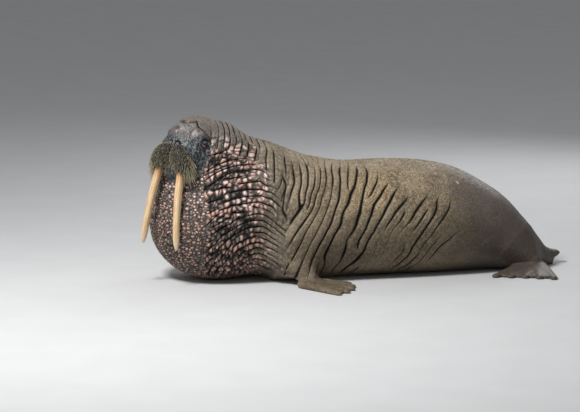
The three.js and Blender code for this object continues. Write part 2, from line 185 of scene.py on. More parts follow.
def head_axes():
    """Forward, left and up of the head, as rows."""
    turn, lift, lean = (math.radians(a) for a in (HEAD_TURN, HEAD_LIFT, HEAD_LEAN))
    level = math.cos(lift)
    forward = np.array((math.sin(turn) * level, -math.cos(turn) * level, math.sin(lift)))
    left = np.array((math.cos(turn), math.sin(turn), 0))
    up = np.cross(forward, left)
    aside, over = math.cos(lean), math.sin(lean)
    return np.array((forward, left * aside - up * over, up * aside + left * over))


HEAD_AXES = head_axes()


def to_head(p):
    return (p - HEAD_AT) @ HEAD_AXES.T


def from_head(q):
    return np.asarray(q, float) @ HEAD_AXES + HEAD_AT


def muzzle_pad(q, side):
    return blend(ellipsoid(PAD, q, side), ellipsoid(JOWL, q, side), JOWL[2])


def head(p):
    q = to_head(p)
    d = ellipsoid(SKULL[0], q)
    for mass in SKULL[1:]:
        d = blend(d, ellipsoid(mass, q), mass[2])
    for side in SIDES.values():
        for mass in (BROW, CHEEK):
            d = blend(d, ellipsoid(mass, q, side), mass[2])
    for side in SIDES.values():
        d = blend(d, muzzle_pad(q, side), PAD[2])
    return d


def to_flipper(shape, p):
    """Out along the middle digit, across it and up, for both sides of the body."""
    turn = math.radians(shape["points"])
    x = np.abs(p[..., 0]) - shape["wrist"][0]
    y = p[..., 1] - shape["wrist"][1]
    out = x * math.cos(turn) + y * math.sin(turn)
    across = y * math.cos(turn) - x * math.sin(turn)
    return np.stack((out, across, p[..., 2]), -1)


def flipper(shape, p):
    q = to_flipper(shape, p) * (1, 1, shape["flat"])
    digits, thick = shape["digits"], np.array(shape["thick"], float)
    d = None
    for half in range(2 * len(digits) - 1):
        web = half % 2
        start, bearing, length = (digits[half // 2] + digits[(half + 1) // 2]) / 2
        angle = math.radians(bearing)
        reach = (length - TRIM) * (WEB_REACH if web else 1)
        end = (math.cos(angle) * reach, start + math.sin(angle) * reach, thick[1] * DIGIT_LIFT)
        radii = thick * (WEB_THICK if web else 1)
        finger = round_cone((0, start, thick[0] * DIGIT_LIFT), end, radii, q)
        d = finger if d is None else blend(d, finger, DIGIT_FILLET)
    return d


def body(p):
    """Signed distance to the whole animal without its eyes, tusks and nails, cut flat by the floor."""
    d = trunk(p)
    for mass in MASSES:
        d = blend(d, ellipsoid(mass, p), mass[2])
    one_sided = across_middle(p, 0)
    for bone in (SHIN, FOREARM):
        d = blend(d, round_cone(*bone[:3], one_sided), bone[3])
    d = blend(d, only_near(HEAD_AT, 620, head, p), HEAD_FILLET)
    for shape in (FORE_FLIPPER, HIND_FLIPPER):
        wrist = np.array((*shape["wrist"], 0.0))
        d = blend(d, only_near(wrist, 560, lambda q: flipper(shape, q), p), WRIST_FILLET)
    return -blend(-(d + COAT), p[..., 2], 8)


def gradient(field, p, step=0.7):
    """Value and gradient, from the four corners of a small tetrahedron."""
    corners = np.array(((1, 1, 1), (1, -1, -1), (-1, 1, -1), (-1, -1, 1)), float)
    values = [field(p + corner * step) for corner in corners]
    slope = sum(v[..., None] * corner for v, corner in zip(values, corners)) / (4 * step)
    return sum(values) / 4, slope


def settle(field, p, turns, furthest=6.0):
    """Moves points onto the field's surface, and gives the surface's normals there."""
    for _ in range(turns):
        d, slope = gradient(field, p)
        length = np.maximum(np.linalg.norm(slope, axis=-1, keepdims=True), 0.3)
        p = p - slope / length * np.clip(d[..., None] / length, -furthest, furthest)
    return p, slope / length


def unit(v):
    return v / np.linalg.norm(v, axis=-1, keepdims=True)


def ramp(value, start, end):
    """0 before start and 1 past end, with a smooth slope between."""
    t = np.clip((value - start) / (end - start), 0, 1)
    return t * t * (3 - 2 * t)


def mix(a, b, share):
    return a + (b - a) * share


def bell(value, width):
    """1 where value is 0, fading away over about width to either side."""
    return np.exp(-((value / width) ** 2))


# A rough net of squares over the body
GRID_LOW, GRID_HIGH = np.array((-850.0, -1330, -40)), np.array((850.0, 1700, 1110))
CELL = 10.0
COARSE = 4  # cells of the first, coarse look at the field


def sampled(field, low, high, cell):
    """The field on a grid, looked at closely only near its surface."""
    axes = [np.arange(low[q], high[q] + cell, cell) for q in range(3)]
    rough_axes = [axis[::COARSE] for axis in axes]
    rough = field(np.stack(np.meshgrid(*rough_axes, indexing="ij"), -1))
    nearest = []
    for axis, rough_axis in zip(axes, rough_axes):
        step = (np.arange(len(axis)) + COARSE // 2) // COARSE
        nearest.append(np.clip(step, 0, len(rough_axis) - 1))
    values = rough[np.ix_(*nearest)]
    i, j, k = np.nonzero(np.abs(values) < 2.2 * COARSE * cell)
    values[i, j, k] = field(np.stack((axes[0][i], axes[1][j], axes[2][k]), -1))
    return values


def net(field, low, high, cell):
    """Points, and squares between them, where each cell that the surface crosses holds one point."""
    values = sampled(field, low, high, cell)
    inside = values < 0
    corners = [np.array((c & 1, (c >> 1) & 1, (c >> 2) & 1)) for c in range(8)]
    shape = np.array(values.shape) - 1

    def corner(array, c):
        return array[tuple(slice(c[q], c[q] + shape[q]) for q in range(3))]

    count = sum(corner(inside, c).astype(np.int8) for c in corners)
    cells = np.argwhere((count > 0) & (count < 8))
    total, crossings = np.zeros((len(cells), 3)), np.zeros(len(cells))
    for a in range(8):
        for b in (a | 1, a | 2, a | 4):
            if a == b:
                continue
            va = values[tuple((cells + corners[a]).T)]
            vb = values[tuple((cells + corners[b]).T)]
            crosses = (va < 0) != (vb < 0)
            share = np.where(crosses, va / np.where(crosses, va - vb, 1), 0)
            total += crosses[:, None] * (corners[a] + share[:, None] * (corners[b] - corners[a]))
            crossings += crosses
    points = low + cell * (cells + total / crossings[:, None])
    number = np.full(shape, -1)
    number[tuple(cells.T)] = np.arange(len(cells))
    squares = []
    for q in range(3):
        step = np.eye(3, dtype=int)
        u, w = step[(q + 1) % 3], step[(q + 2) % 3]
        start = np.argwhere(corner(inside, (0, 0, 0)) != corner(inside, step[q]))
        start = start[(start[:, (q + 1) % 3] > 0) & (start[:, (q + 2) % 3] > 0)]
        around = [number[tuple((start - m * u - n * w).T)] for m, n in ((0, 0), (1, 0), (1, 1), (0, 1))]
        square = np.stack(around, 1)
        flip = ~inside[tuple(start.T)]
        square[flip] = square[flip][:, ::-1]
        squares.append(square)
    return points, np.vstack(squares)


def point_values(mesh, what):
    """Three numbers for each point of a mesh: where it is, or which way it faces."""
    values = np.empty(len(mesh.vertices) * 3, np.float32)
    mesh.vertices.foreach_get(what, values)
    return values.reshape(-1, 3).astype(float)


def mesh_object(name, points, faces):
    """A new piece from points in millimetres."""
    mesh = bpy.data.meshes.new(name)
    place = (np.asarray(points, float) + SHIFT) * MM
    faces = np.asarray(faces, np.int32)
    mesh.vertices.add(len(place))
    mesh.vertices.foreach_set("co", place.astype(np.float32).ravel())
    mesh.loops.add(faces.size)
    mesh.loops.foreach_set("vertex_index", faces.ravel())
    mesh.polygons.add(len(faces))
    mesh.polygons.foreach_set("loop_start", np.arange(len(faces), dtype=np.int32) * faces.shape[1])
    mesh.update(calc_edges=True)
    mesh.shade_smooth()
    piece = bpy.data.objects.new(name, mesh)
    bpy.context.scene.collection.objects.link(piece)
    return piece


def places(mesh):
    """The points of a mesh, in millimetres in the drawing's frame."""
    return point_values(mesh, "co") / MM - SHIFT


def put(mesh, points):
    mesh.vertices.foreach_set("co", ((points + SHIFT) * MM).astype(np.float32).ravel())
    mesh.update()


def attribute(mesh, name, values):
    layer = mesh.attributes.new(name, "FLOAT", "POINT")
    layer.data.foreach_set("value", np.asarray(values, np.float32))


def unwrap(piece):
    """The map that the coat's tufts take their places from."""
    piece.data.uv_layers.new(name="OFBake")
    bpy.context.view_layer.objects.active = piece
    piece.select_set(True)
    bpy.ops.object.mode_set(mode="EDIT")
    bpy.ops.mesh.select_all(action="SELECT")
    bpy.ops.uv.smart_project(angle_limit=math.radians(70), island_margin=0.004)
    bpy.ops.object.mode_set(mode="OBJECT")
    piece.select_set(False)


def refine(piece, chosen):
    """Halves the squares where chosen, of their middles, is true."""
    work = bmesh.new()
    work.from_mesh(piece.data)
    middles = np.array([face.calc_center_median() for face in work.faces]) / MM - SHIFT
    wanted = chosen(middles)
    edges = {edge for face, want in zip(work.faces, wanted) if want for edge in face.edges}
    bmesh.ops.subdivide_edges(work, edges=list(edges), cuts=1, use_grid_fill=True)
    work.to_mesh(piece.data)
    work.free()


def folded_part(p):
    """All but the smooth back of the hindquarters and what lies on the floor."""
    return (p[:, 1] < 950) | (np.abs(p[:, 0]) > 250) & (p[:, 2] < 200)


def face_part(p):
    q = to_head(p)
    return (q[:, 0] > -70) & (q[:, 2] > -290) & (np.linalg.norm(q, axis=1) < 330)


def eye_part(p):
    return np.linalg.norm(across_middle(to_head(p), 1) - EYE, axis=1) < 62


def base_skin():
    points, squares = net(body, GRID_LOW, GRID_HIGH, CELL)
    points = settle(body, points, 3)[0]
    piece = mesh_object("skin", points, squares)
    unwrap(piece)
    for part in (folded_part, face_part, eye_part):
        refine(piece, part)
    return piece


# Repeatable noise and cells, for the folds and the small lumps of the skin
def chance(cell, seed):
    """A random number from 0 to 1 that belongs to each cell of a grid."""
    mask = 0xFFFFFFFF
    mixed = seed * 2654435761 & mask
    for q, prime in zip(range(cell.shape[-1]), (73856093, 19349663, 83492791)):
        mixed = mixed ^ (cell[..., q] * prime & mask)
    for _ in range(2):
        mixed = (mixed >> 16 ^ mixed) * 73244475 & mask
    return ((mixed >> 16 ^ mixed) & 0xFFFFFF) / 0xFFFFFF


TILT = np.array(((0.80, 0.36, -0.48), (-0.60, 0.48, -0.64), (0.0, 0.80, 0.60)))


def noise(p, size, seed):
    """Smooth noise from -1 to 1 whose lumps are about size across, on a grid tilted in space."""
    q = (p @ TILT if p.shape[1] == 3 else p) / size
    home = np.floor(q).astype(np.int64)
    t = q - home
    t = t * t * (3 - 2 * t)
    total = np.zeros(len(p))
    for corner in np.ndindex(*(2,) * p.shape[1]):
        share = np.prod(np.where(corner, t, 1 - t), axis=1)
        total += share * chance(home + corner, seed)
    return 2 * total - 1


def cells(p, jitter, seed):
    """How far each point is from its cell's border and middle, and the cell's random number."""
    home = np.floor(p).astype(np.int64)
    dims = p.shape[1]
    first, second = np.full(len(p), 99.0), np.full(len(p), 99.0)
    first_at, second_at = np.zeros(p.shape), np.zeros(p.shape)
    tone = np.zeros(len(p))
    for offset in np.ndindex(*(3,) * dims):
        cell = home + offset - 1
        centre = cell + 0.5
        for q in range(dims):
            centre[:, q] += jitter[q] * (chance(cell, seed + 11 * q) - 0.5)
        away = dot(p - centre, p - centre)
        best, next_best = away < first, (away >= first) & (away < second)
        second = np.where(best, first, np.where(next_best, away, second))
        second_at = np.where(next_best[:, None], centre, second_at)
        second_at = np.where(best[:, None], first_at, second_at)
        first = np.where(best, away, first)
        first_at = np.where(best[:, None], centre, first_at)
        tone = np.where(best, chance(cell, seed + 77), tone)
    apart = np.linalg.norm(second_at - first_at, axis=1)
    return (second - first) / (2 * np.maximum(apart, 0.05)), np.sqrt(first), tone


def pillow(edge, width, roundness=2.5):
    """0 at a cell's border, rising to 1 over width, steep at first."""
    return 1 - np.clip(1 - edge / width, 0, 1) ** roundness


def warped(p, amount, size, seed):
    """Points pushed about a little, so that what follows them isn't straight."""
    return p + amount * np.stack([noise(p, size, seed + q) for q in range(p.shape[1])], 1)


def at(table, value):
    return np.interp(value, *zip(*table))


# Ring folds, which go round the body and lean back down the flank; each table goes by the place along it
TOP_LINE = (
    (-950, 1075), (-740, 1045), (-600, 990), (-500, 900), (-400, 860), (-300, 800), (-100, 750),
    (400, 740), (745, 704), (1000, 600), (1200, 455),
)
RING_LEAN = ((-740, 0.3), (-400, 0.45), (100, 0.5), (350, 0.78), (650, 1.0))
RING_COUNT = ((-1100, 0), (-100, 25), (100, 28.8), (300, 31.4), (1500, 45.4))
MIDDLE_X = ((-1000, 60), (-600, 14), (0, 0))
MIDDLE_Z = ((-1100, 600), (-700, 560), (-400, 420), (0, 350), (1000, 250), (1500, 50))
GIRTH = ((-1100, 200), (-700, 330), (-300, 430), (800, 400), (1500, 100))
RING_DEPTH = (
    (-1100, 8), (-700, 9.5), (-500, 10), (-350, 11), (150, 11), (500, 10), (700, 6), (850, 2),
    (1200, 1),
)
FLANK_START = ((150, 770), (300, 690), (450, 620), (700, 600), (900, 540))
BEAD_LENGTH = 30.0  # how long the lumps along a ring are
FLOW_UNIT = 40.0  # millimetres along a ring for each step of its noise
MERGED_RINGS, MERGING_REACH = (20, 38), (-26, 26)  # where rings run into each other
RING_WANDER = 0.6  # how far a ring strays, in steps from ring to ring
FAINT_DEPTH, BEAD_DEPTH = 3.5, 6.0


def ring_place(p):
    """The place along the back where the ring through each point comes up."""
    y = p[:, 1]
    fall = np.maximum(at(TOP_LINE, y) - p[:, 2], 0)
    chevron = 30 * bell(p[:, 0], 120) * ramp(y, -450, -650)
    return y + at(RING_LEAN, y) * fall * fall / (fall + 100) + chevron


def crease(count, width=0.5, sharpness=2.6):
    """1 at each whole number, and 0 half way between: rounded rolls with sharp creases."""
    return np.clip(1 - np.abs(count - np.round(count)) / width, 0, 1) ** sharpness


def wandering(flow, seed, wander):
    """How far a crease strays: slowly along its length, sooner from one crease to the next."""
    slow, quick = noise(flow / (3.8, 7), 1, seed), noise(flow / (2.2, 2), 1, seed + 1)
    return wander * slow + 0.35 * wander * quick


def staggered(flow, seed, wander, extra, swapped=1.0):
    """Two sets of creases half a step apart, each taking over where the other fades."""
    first = flow[:, 0] + extra + wandering(flow, seed, wander)
    second = flow[:, 0] + extra + 0.5 + wandering(flow, seed + 2, wander)
    swap = swapped * ramp(noise(flow / (4, 6), 1, seed + 4), -0.3, 0.3)
    fold = mix(crease(first), crease(second), swap)
    wave = np.where(swap > 0.5, second, first)
    return fold, first, wave, np.clip(3 * np.abs(swap - 0.5), 0, 1)


def joined(flow, counts, reach, pairs, seed):
    """What to add to a count of creases, so that here and there two of them run into one."""
    pick = np.random.default_rng(seed)
    total = np.zeros(len(flow))
    for sign in (1, -1) * pairs:
        middle = (np.floor(pick.uniform(*counts)) + 0.5, pick.uniform(*reach))
        across, down = (flow - middle).T
        total += sign * np.arctan2(across, 0.5 * down) / (2 * math.pi)
    return total


def lump(edge, middle, tone, sharpness=2.2):
    """Rise of a cell from its border, and the bald tip at its middle."""
    return pillow(edge, 0.46, sharpness), ramp(middle + 0.14 * (tone - 0.5), 0.56, 0.26)


def ring_depth(p, flow):
    """How deep the rings are: shallow over the back, and patchy down the flank."""
    y, z = p[:, 1], p[:, 2]
    start = at(FLANK_START, y)
    depth = at(RING_DEPTH, y) * mix(1, ramp(z, start + 50, start - 210), ramp(y, 120, 260))
    top = at(TOP_LINE, y)
    crest = ramp(z, top - 60, top - 10) * ramp(y, -560, -430)
    least = mix(0.45, 0.1, ramp(y, -100, 450))
    patchy = mix(least, 1, ramp(noise(flow / (0.9, 6), 1, 17), -0.5, 0.3))
    return depth * (1 - 0.6 * crest) * patchy


def rings(p):
    """The folds that go round neck and trunk, and the lumps on them low on the neck."""
    x, y, z = p.T
    place = at(RING_COUNT, ring_place(p))
    around = np.arctan2(x - at(MIDDLE_X, y), z - at(MIDDLE_Z, y)) * at(GIRTH, y)
    flow = np.stack((place, around / FLOW_UNIT), 1)
    wander = mix(RING_WANDER, 0.5, ramp(y, -700, -300))
    merging = joined(flow, MERGED_RINGS, MERGING_REACH, 16, 12)
    fold, count, wave, clear = staggered(flow, 3, wander, merging, ramp(y, -330, -430))
    where = warped(np.stack((count, around / BEAD_LENGTH), 1), 0.3, 0.8, 61)
    edge, middle, tone = cells(where, (0.6, 0.9), 6)
    bead, tip = lump(edge, middle, tone)
    beads = ramp(y, -380, -600) * ramp(z, boundary(y) + 200, boundary(y) + 10)
    depth = ring_depth(p, flow)
    between = crease(count + 0.5 + 0.25 * noise(flow / (2, 3), 1, 19), 0.3, 1.5)
    faint = between * ramp(noise(flow / (1.6, 5), 1, 18), -0.1, 0.5) * ramp(depth, 2, 7)
    return {
        "dent": depth * fold + FAINT_DEPTH * faint + BEAD_DEPTH * beads * (1 - bead),
        "fold": np.maximum(fold * ramp(depth, 0, 8), 0.4 * faint),
        "bead": bead, "tip": tip, "tone": tone, "wave": wave, "line": clear * ramp(depth, 0, 9),
        "beads": beads,
    }


# Below this line the neck and the chest are cobbled
BOUNDARY = (
    (-900, 850), (-760, 850), (-667, 821), (-571, 788), (-496, 733), (-440, 600), (-410, 450),
    (-390, -200),
)
ARCH_AT = (-560.0, 60.0)  # y and z of the middle of the chest's arches
ARCH_RADIUS = 370.0
ROW, COBBLE, COBBLE_DEPTH, ROW_DEPTH = 41.0, 36.0, 12.0, 11.0
MERGED_ROWS, MERGED_PLACES = (-9, 8), (-1, 8)  # where the arches' rows run into each other
THROAT_LUMP, THROAT_DEPTH = (26, 24, 18), 8.0


def boundary(y):
    return at(BOUNDARY, y)


def cobbles(p):
    """Rows of cobbles that arch over the chest from armpit to armpit, plain rolls behind."""
    x, y, z = p.T
    ahead, behind = np.maximum(ARCH_AT[0] - y, 0), np.maximum(y - ARCH_AT[0], 0)
    rise = z - ARCH_AT[1]
    sag = 0.85 * behind * behind / (behind + 60)
    out = np.where(behind > 0, rise + sag, np.hypot(ahead, rise)) - ARCH_RADIUS
    turn = -np.arctan2(ahead, rise) * (ARCH_RADIUS + 0.8 * out)
    turn = np.where(behind > 0, behind + 0.5 * sag, turn)
    flow = np.stack((out / ROW, turn / COBBLE + 0.8 * np.abs(x) / COBBLE), 1)
    merging = joined(flow, MERGED_ROWS, MERGED_PLACES, 7, 31)
    wander = mix(0.42, 0.75, ramp(y, -700, -450))
    fold, count, wave, clear = staggered(flow, 13, wander, merging)
    where = warped(np.stack((count, turn / COBBLE, x / COBBLE / 1.5), 1), 0.28, 0.8, 64)
    edge, middle, tone = cells(where, (0.6, 0.95, 0.4), 15)
    bead, tip = lump(edge, middle, tone, 1.8)
    bead = bead * (1 - 0.55 * ramp(middle, 0.4, 0.72))
    bead = mix(bead, 1, 0.6 * ramp(y, -640, -500))
    ending = 0.85 * ramp(y, -530, -430) * ramp(noise(flow / (1.1, 4), 1, 37), 0.35, -0.25)
    fold = fold * (1 - 0.7 * ending)
    return {
        "dent": COBBLE_DEPTH * (1 - bead) + ROW_DEPTH * fold, "fold": fold, "bead": bead,
        "tip": tip, "tone": tone, "wave": wave, "line": clear * (1 - ending),
    }


def throat_lumps(p):
    where = warped(p / THROAT_LUMP, 0.22, 0.8, 67)
    edge, middle, tone = cells(where, (0.9, 0.9, 0.7), 21)
    bead, tip = lump(edge, middle, tone)
    dent = THROAT_DEPTH * (1 - bead)
    return {"dent": dent, "fold": 0, "bead": bead, "tip": tip, "tone": tone, "line": 0}


# The head's own marks, in its own axes: forward, left and up
def polyline(points, steps=8):
    rows = np.column_stack((np.arange(len(points)), np.array(points, float)))
    return along(rows, np.linspace(0, len(points) - 1, steps * (len(points) - 1) + 1))


def line_distance(q, points):
    """Distance to a curve through the points, looked at only near it."""
    line = polyline(points)
    low, high = line.min(0) - 60, line.max(0) + 60
    near = np.all((q > low) & (q < high), axis=1)
    best = np.full(len(q), 1e3)
    part = q[near]
    nearest = np.full(len(part), 1e3)
    for start, end in zip(line[:-1], line[1:]):
        step = end - start
        share = np.clip((part - start) @ step / (step @ step), 0, 1)
        nearest = np.minimum(nearest, np.linalg.norm(part - start - share[:, None] * step, axis=1))
    best[near] = nearest
    return best


def mark(q, points, width):
    """1 on the curve, fading away over about width."""
    return bell(line_distance(q, points), width)


def mirrored(points, side):
    return tuple((f, side * l, u) for f, l, u in points)


def on_skin(points):
    """The same line, moved onto the smooth skin."""
    return to_head(settle(body, from_head(np.array(points, float)), 8)[0])


BROW_FOLD = ((45, 50, 130), (62, 84, 98), (47, 119, 78), (13, 151, 44), (-5, 168, 4))
SKULL_FOLD = ((60, -80, 112), (95, -20, 104), (92, 15, 107), (73, 42, 116), (45, 56, 129))
NOSE_ROLL = ((119, -35, 63), (112, 20, 72), (97, 73, 70))
CHEEK_LINES = (
    ((4, 174, -30), (-4, 178, -60), (2, 176, -95)),
    ((30, 168, -40), (24, 174, -75), (30, 168, -110)),
    ((56, 150, -50), (52, 156, -85), (58, 148, -120)),
)
NOSTRIL = (
    (164, 12, -72), (166, 13, -52), (166, 17, -37), (160, 27, -30), (154, 37, -36), (150, 42, -48),
)
NOSTRIL_LOBE = ((162, 23, -62), (160, 27, -48))
NOSE_GROOVE = ((157, 0, -15), (168, 0, -35), (172, 0, -62))
PAD_CLEFT = ((172, 0, -62), (190, 0, -110), (186, 0, -150), (168, 0, -178))
MOUTH = ((150, -60, -186), (160, -30, -180), (163, 0, -178), (160, 30, -180), (150, 60, -186))
SOCKET = ((58, 141, 14), (38, 150, 16), (18, 157, 12))
EYE_BAG = ((66, 140, -14), (46, 149, -28), (24, 157, -26), (8, 162, -10))


def face_strokes():
    """Every line of the face, with its width and depth."""
    strokes = [(BROW_FOLD, 6, 9), (SKULL_FOLD, 10, 4), (NOSE_GROOVE, 5, 4)]
    strokes += [(PAD_CLEFT, 7, 10), (MOUTH, 6, 7), (mirrored(BROW_FOLD, -1), 8, 9)]
    for side in SIDES.values():
        strokes += [(mirrored(line, side), 6, 3) for line in CHEEK_LINES]
        strokes += [(mirrored(NOSTRIL, side), 6.5, 14), (mirrored(SOCKET, side), 8, 7)]
        strokes += [(mirrored(EYE_BAG, side), 4, 3.5)]
    return strokes


def face_marks(q):
    """Dents into the face, in millimetres, and the painted shade in each, darker the deeper it is, with
    painted shadow in each eye's socket.
    """
    dent, dark = np.zeros(len(q)), np.zeros(len(q))
    for points, width, depth in face_strokes():
        share = mark(q, on_skin(points), width)
        dent += depth * share
        dark = np.maximum(dark, ramp(share, 0.25, 0.75) * min(depth / 7, 1))
    for side in SIDES.values():
        dent -= 4 * mark(q, on_skin(mirrored(NOSTRIL_LOBE, side)), 7)
        from_eye = np.linalg.norm(q - EYE * (1, side, 1), axis=1)
        # Painted shadow in the socket round the eye, under the brow.
        dark = np.maximum(dark, 0.6 * ramp(from_eye, 52, 26))
    dent -= 3 * mark(q, on_skin(NOSE_ROLL), 12)
    return dent, dark


SCARS = (  # place on the body, radius
    ((228, 650, 672), 26), ((231, 710, 657), 20), ((261, 790, 612), 30), ((170, 975, 579), 18),
    ((165, 1024, 550), 22), ((395, 248, 539), 24),
)
SCAR_AXES = np.array(((0.3, -0.55, 0.78), (0.0, 0.82, 0.57), (0.95, 0.17, -0.25)))
FOREHEAD_RING = (134, -31, 38)
FACE_SCAR = ((94, 89, 58), (106, 88, 34), (114, 87, 16))


# Where the face ends, forward, for each height up the head
FACE_BACK = ((-160, -30), (-60, -34), (4, -8), (44, 14), (78, 47), (98, 62), (130, 50), (160, 40))


# The eye looks forward and outward; its opening is drawn on a plane across that line of sight
GAZE = unit(np.array((0.83, 0.557, -0.03)))
EYE_UP = unit(np.array((0.0, 0.0, 1.0)) - GAZE[2] * GAZE)
EYE_BACK = np.cross(EYE_UP, GAZE)
LOWER_LID = ((-17, 4), (-10, -3), (-2, -7.5), (5, -8), (11, -4.5), (15, 1))
UPPER_LID = ((-17, 3.5), (-9, 2.5), (0, 1), (8, 1.5), (15, 0))
OPENING_MIDDLE, OPENING_REACH = -1, 15.5  # of the opening, across it
LID = 3.2  # how thick the lids are over the ball


def eye_opening(q):
    """How far inside the opening between the lids a point is, and how near the lower lid's edge."""
    offset = across_middle(q, 1) - EYE
    across, height = offset @ EYE_BACK, offset @ EYE_UP
    in_front = (offset @ GAZE > 2) & (np.linalg.norm(offset, axis=1) < 48)
    below, above = height - at(LOWER_LID, across), at(UPPER_LID, across) - height
    beyond = np.abs(across - OPENING_MIDDLE) - OPENING_REACH
    inside = np.minimum(below, above) - np.maximum(beyond, 0)
    return np.where(in_front, inside, -99.0), np.where(in_front & (beyond < 0.5), below, -99.0)


def lids(q):
    """The lids' dent, the pink of the lower one, and the painted shade in the opening between them."""
    inside, from_lower = eye_opening(q)
    rim = bell(inside + 3.2, 3.0)
    pink = bell(from_lower + 1.6, 2.2) * (inside < 0.6)
    return -1.6 * rim, pink, ramp(inside, -1.0, 0.8)


def over_ball(shaped):
    """Lifts the lids clear of the eyeball, and sinks the skin behind it in the opening."""
    q = to_head(shaped)
    side = np.where(q[:, 1] < 0, -1.0, 1.0)
    q[:, 1] *= side
    offset = q - EYE
    away = np.linalg.norm(offset, axis=1)
    inside = eye_opening(q)[0]
    lid = -blend(-away, np.full(len(q), -(EYE_RADIUS + LID)), 5)
    rim = mix(lid, np.minimum(away, EYE_RADIUS - 4), ramp(inside, -0.5, 1.0))
    near = (away < 45) & (q[:, 0] > EYE[0] - 12)
    q = EYE + offset * np.where(near, rim / np.maximum(away, 1), 1)[:, None]
    q[:, 1] *= side
    return np.where(near[:, None], from_head(q), shaped)


SMALL_LUMP = 13  # the size of the lumps that roughen all of the skin
WRINKLE = np.array((26.0, 11.0, 11.0))  # the long way of the face's wrinkles first
WRINKLE_AXES = unit(np.array(((-0.62, 0.30, -0.72), (0.1, 0.93, 0.36), (0.78, 0.15, -0.6))))
PAD_MIDDLE = np.array((98.0, 66, -136))
PAD_TOP = ((-60, 50), (10, 48), (40, 20), (65, -2), (100, -18))  # its height for each bearing


def pad_angles(q):
    """Bearing and rise of points from the middle of the pad on their side, in degrees."""
    forward, aside, up = (across_middle(q, 1) - PAD_MIDDLE).T
    rise = np.arctan2(up, np.hypot(forward, aside))
    return np.degrees(np.arctan2(aside, forward)), np.degrees(rise)


def whisker_pad(q):
    """1 on the pads that the whiskers grow from."""
    pads = [muzzle_pad(q, side) for side in SIDES.values()]
    bearing, rise = pad_angles(q)
    share = ramp(np.minimum(*pads), 14, 3) * ramp(q[:, 0] - 0.25 * np.abs(q[:, 1]), 75, 100)
    return share * ramp(rise - at(PAD_TOP, bearing), 10, -2)


def head_parts(p, q, drift):
    """Where the bare face is, and where the top of the skull is."""
    forward, sideways, up = q.T
    of_head = ramp(only_near(HEAD_AT, 600, head, p), 42, 12)
    narrowing = 0.25 * np.maximum(90 - np.abs(sideways), 0) * ramp(up, 70, 110)
    back = at(FACE_BACK, up) + narrowing
    face = of_head * ramp(forward + 6 * drift, back - 12, back + 8)
    face *= ramp(forward + 0.9 * up, -250, -190)
    behind = ramp(forward + 0.5 * (up - 110) + 8 * drift, -45, -10)
    return face, of_head * ramp(up, 20, 70) * behind * (1 - face)


THROAT_BACK, THROAT_TOP = -903, 745  # the throat's lumps lie before and below these
SEAM_AT = -390  # the chest's rolls end here, and the flank's rings begin


def joined_folds(p, drift):
    """The folds of every part, each in its own place, and where those places are."""
    y, z = p[:, 1], p[:, 2]
    throat = ramp(y + 30 * drift, THROAT_BACK + 10, THROAT_BACK - 10)
    throat = throat * ramp(z + 30 * drift, THROAT_TOP + 10, THROAT_TOP - 10)
    seam = y - SEAM_AT + 35 * noise(p, 90, 35)
    upper = ramp(z + 40 * drift, boundary(y) - 18, boundary(y) + 18)
    upper = np.where(seam > 0, 1.0, upper)
    ring, chest, lumps = rings(p), cobbles(p), throat_lumps(p)
    skin = {}
    for name in lumps:
        front = mix(chest[name], lumps[name], throat)
        skin[name] = mix(front, ring[name], upper)
    skin["wave"] = np.where(upper > 0.5, ring["wave"], chest["wave"])
    skin["beaded"] = mix(1, ring["beads"], upper)
    quiet = 1 - 0.7 * bell(seam, 16) * ramp(z, 640, 580)
    border = bell(seam + 6, 7) * ramp(z, 390, 470) * ramp(z, 730, 670)
    skin["line"] = skin["line"] * np.clip(3 * np.abs(upper - 0.5), 0, 1) * quiet
    skin["dent"] = np.maximum(skin["dent"] * quiet, 10 * border)
    skin["fold"] = np.maximum(skin["fold"] * quiet, border)
    skin.update(border=border, throat=throat, upper=upper)
    return skin


def face_wrinkles(q, share):
    """The wet face's wrinkles, long ways down and back from the nose."""
    slant = warped(q @ WRINKLE_AXES.T / WRINKLE, 0.3, 0.9, 71)
    edge = cells(slant, (0.9, 0.9, 0.9), 44)[0]
    return share * mix(1, 0.5, ramp(q[:, 2], 10, 60)) * (1 - whisker_pad(q)) * (1 - pillow(edge, 0.34))


def shade_and_browning(p, skin, face, calm, drift):
    """How far the skin is browned: painted shade in its folds and low on the flank and chest, and a darker
    shoulder and throat.
    """
    y, z = p[:, 1], p[:, 2]
    upper = skin["upper"]
    in_folds = ramp(np.maximum(skin["fold"], skin["beaded"] * (1 - skin["bead"])), 0.1, 0.6)
    # Painted shade low on the flank and the chest; the shoulder and throat are browned too.
    low_flank = ramp(z + 60 * drift, 580, 250) * ramp(y, -420, -300)
    shoulder = ramp(y + 80 * drift, -200, -420) * upper * (1 - face)
    low_chest = (1 - upper) * ramp(z + 60 * drift, 560, 320)
    return np.maximum.reduce((
        in_folds * calm, 0.75 * low_flank, 0.4 * shoulder, 0.4 * low_chest, 0.25 * skin["throat"],
    ))


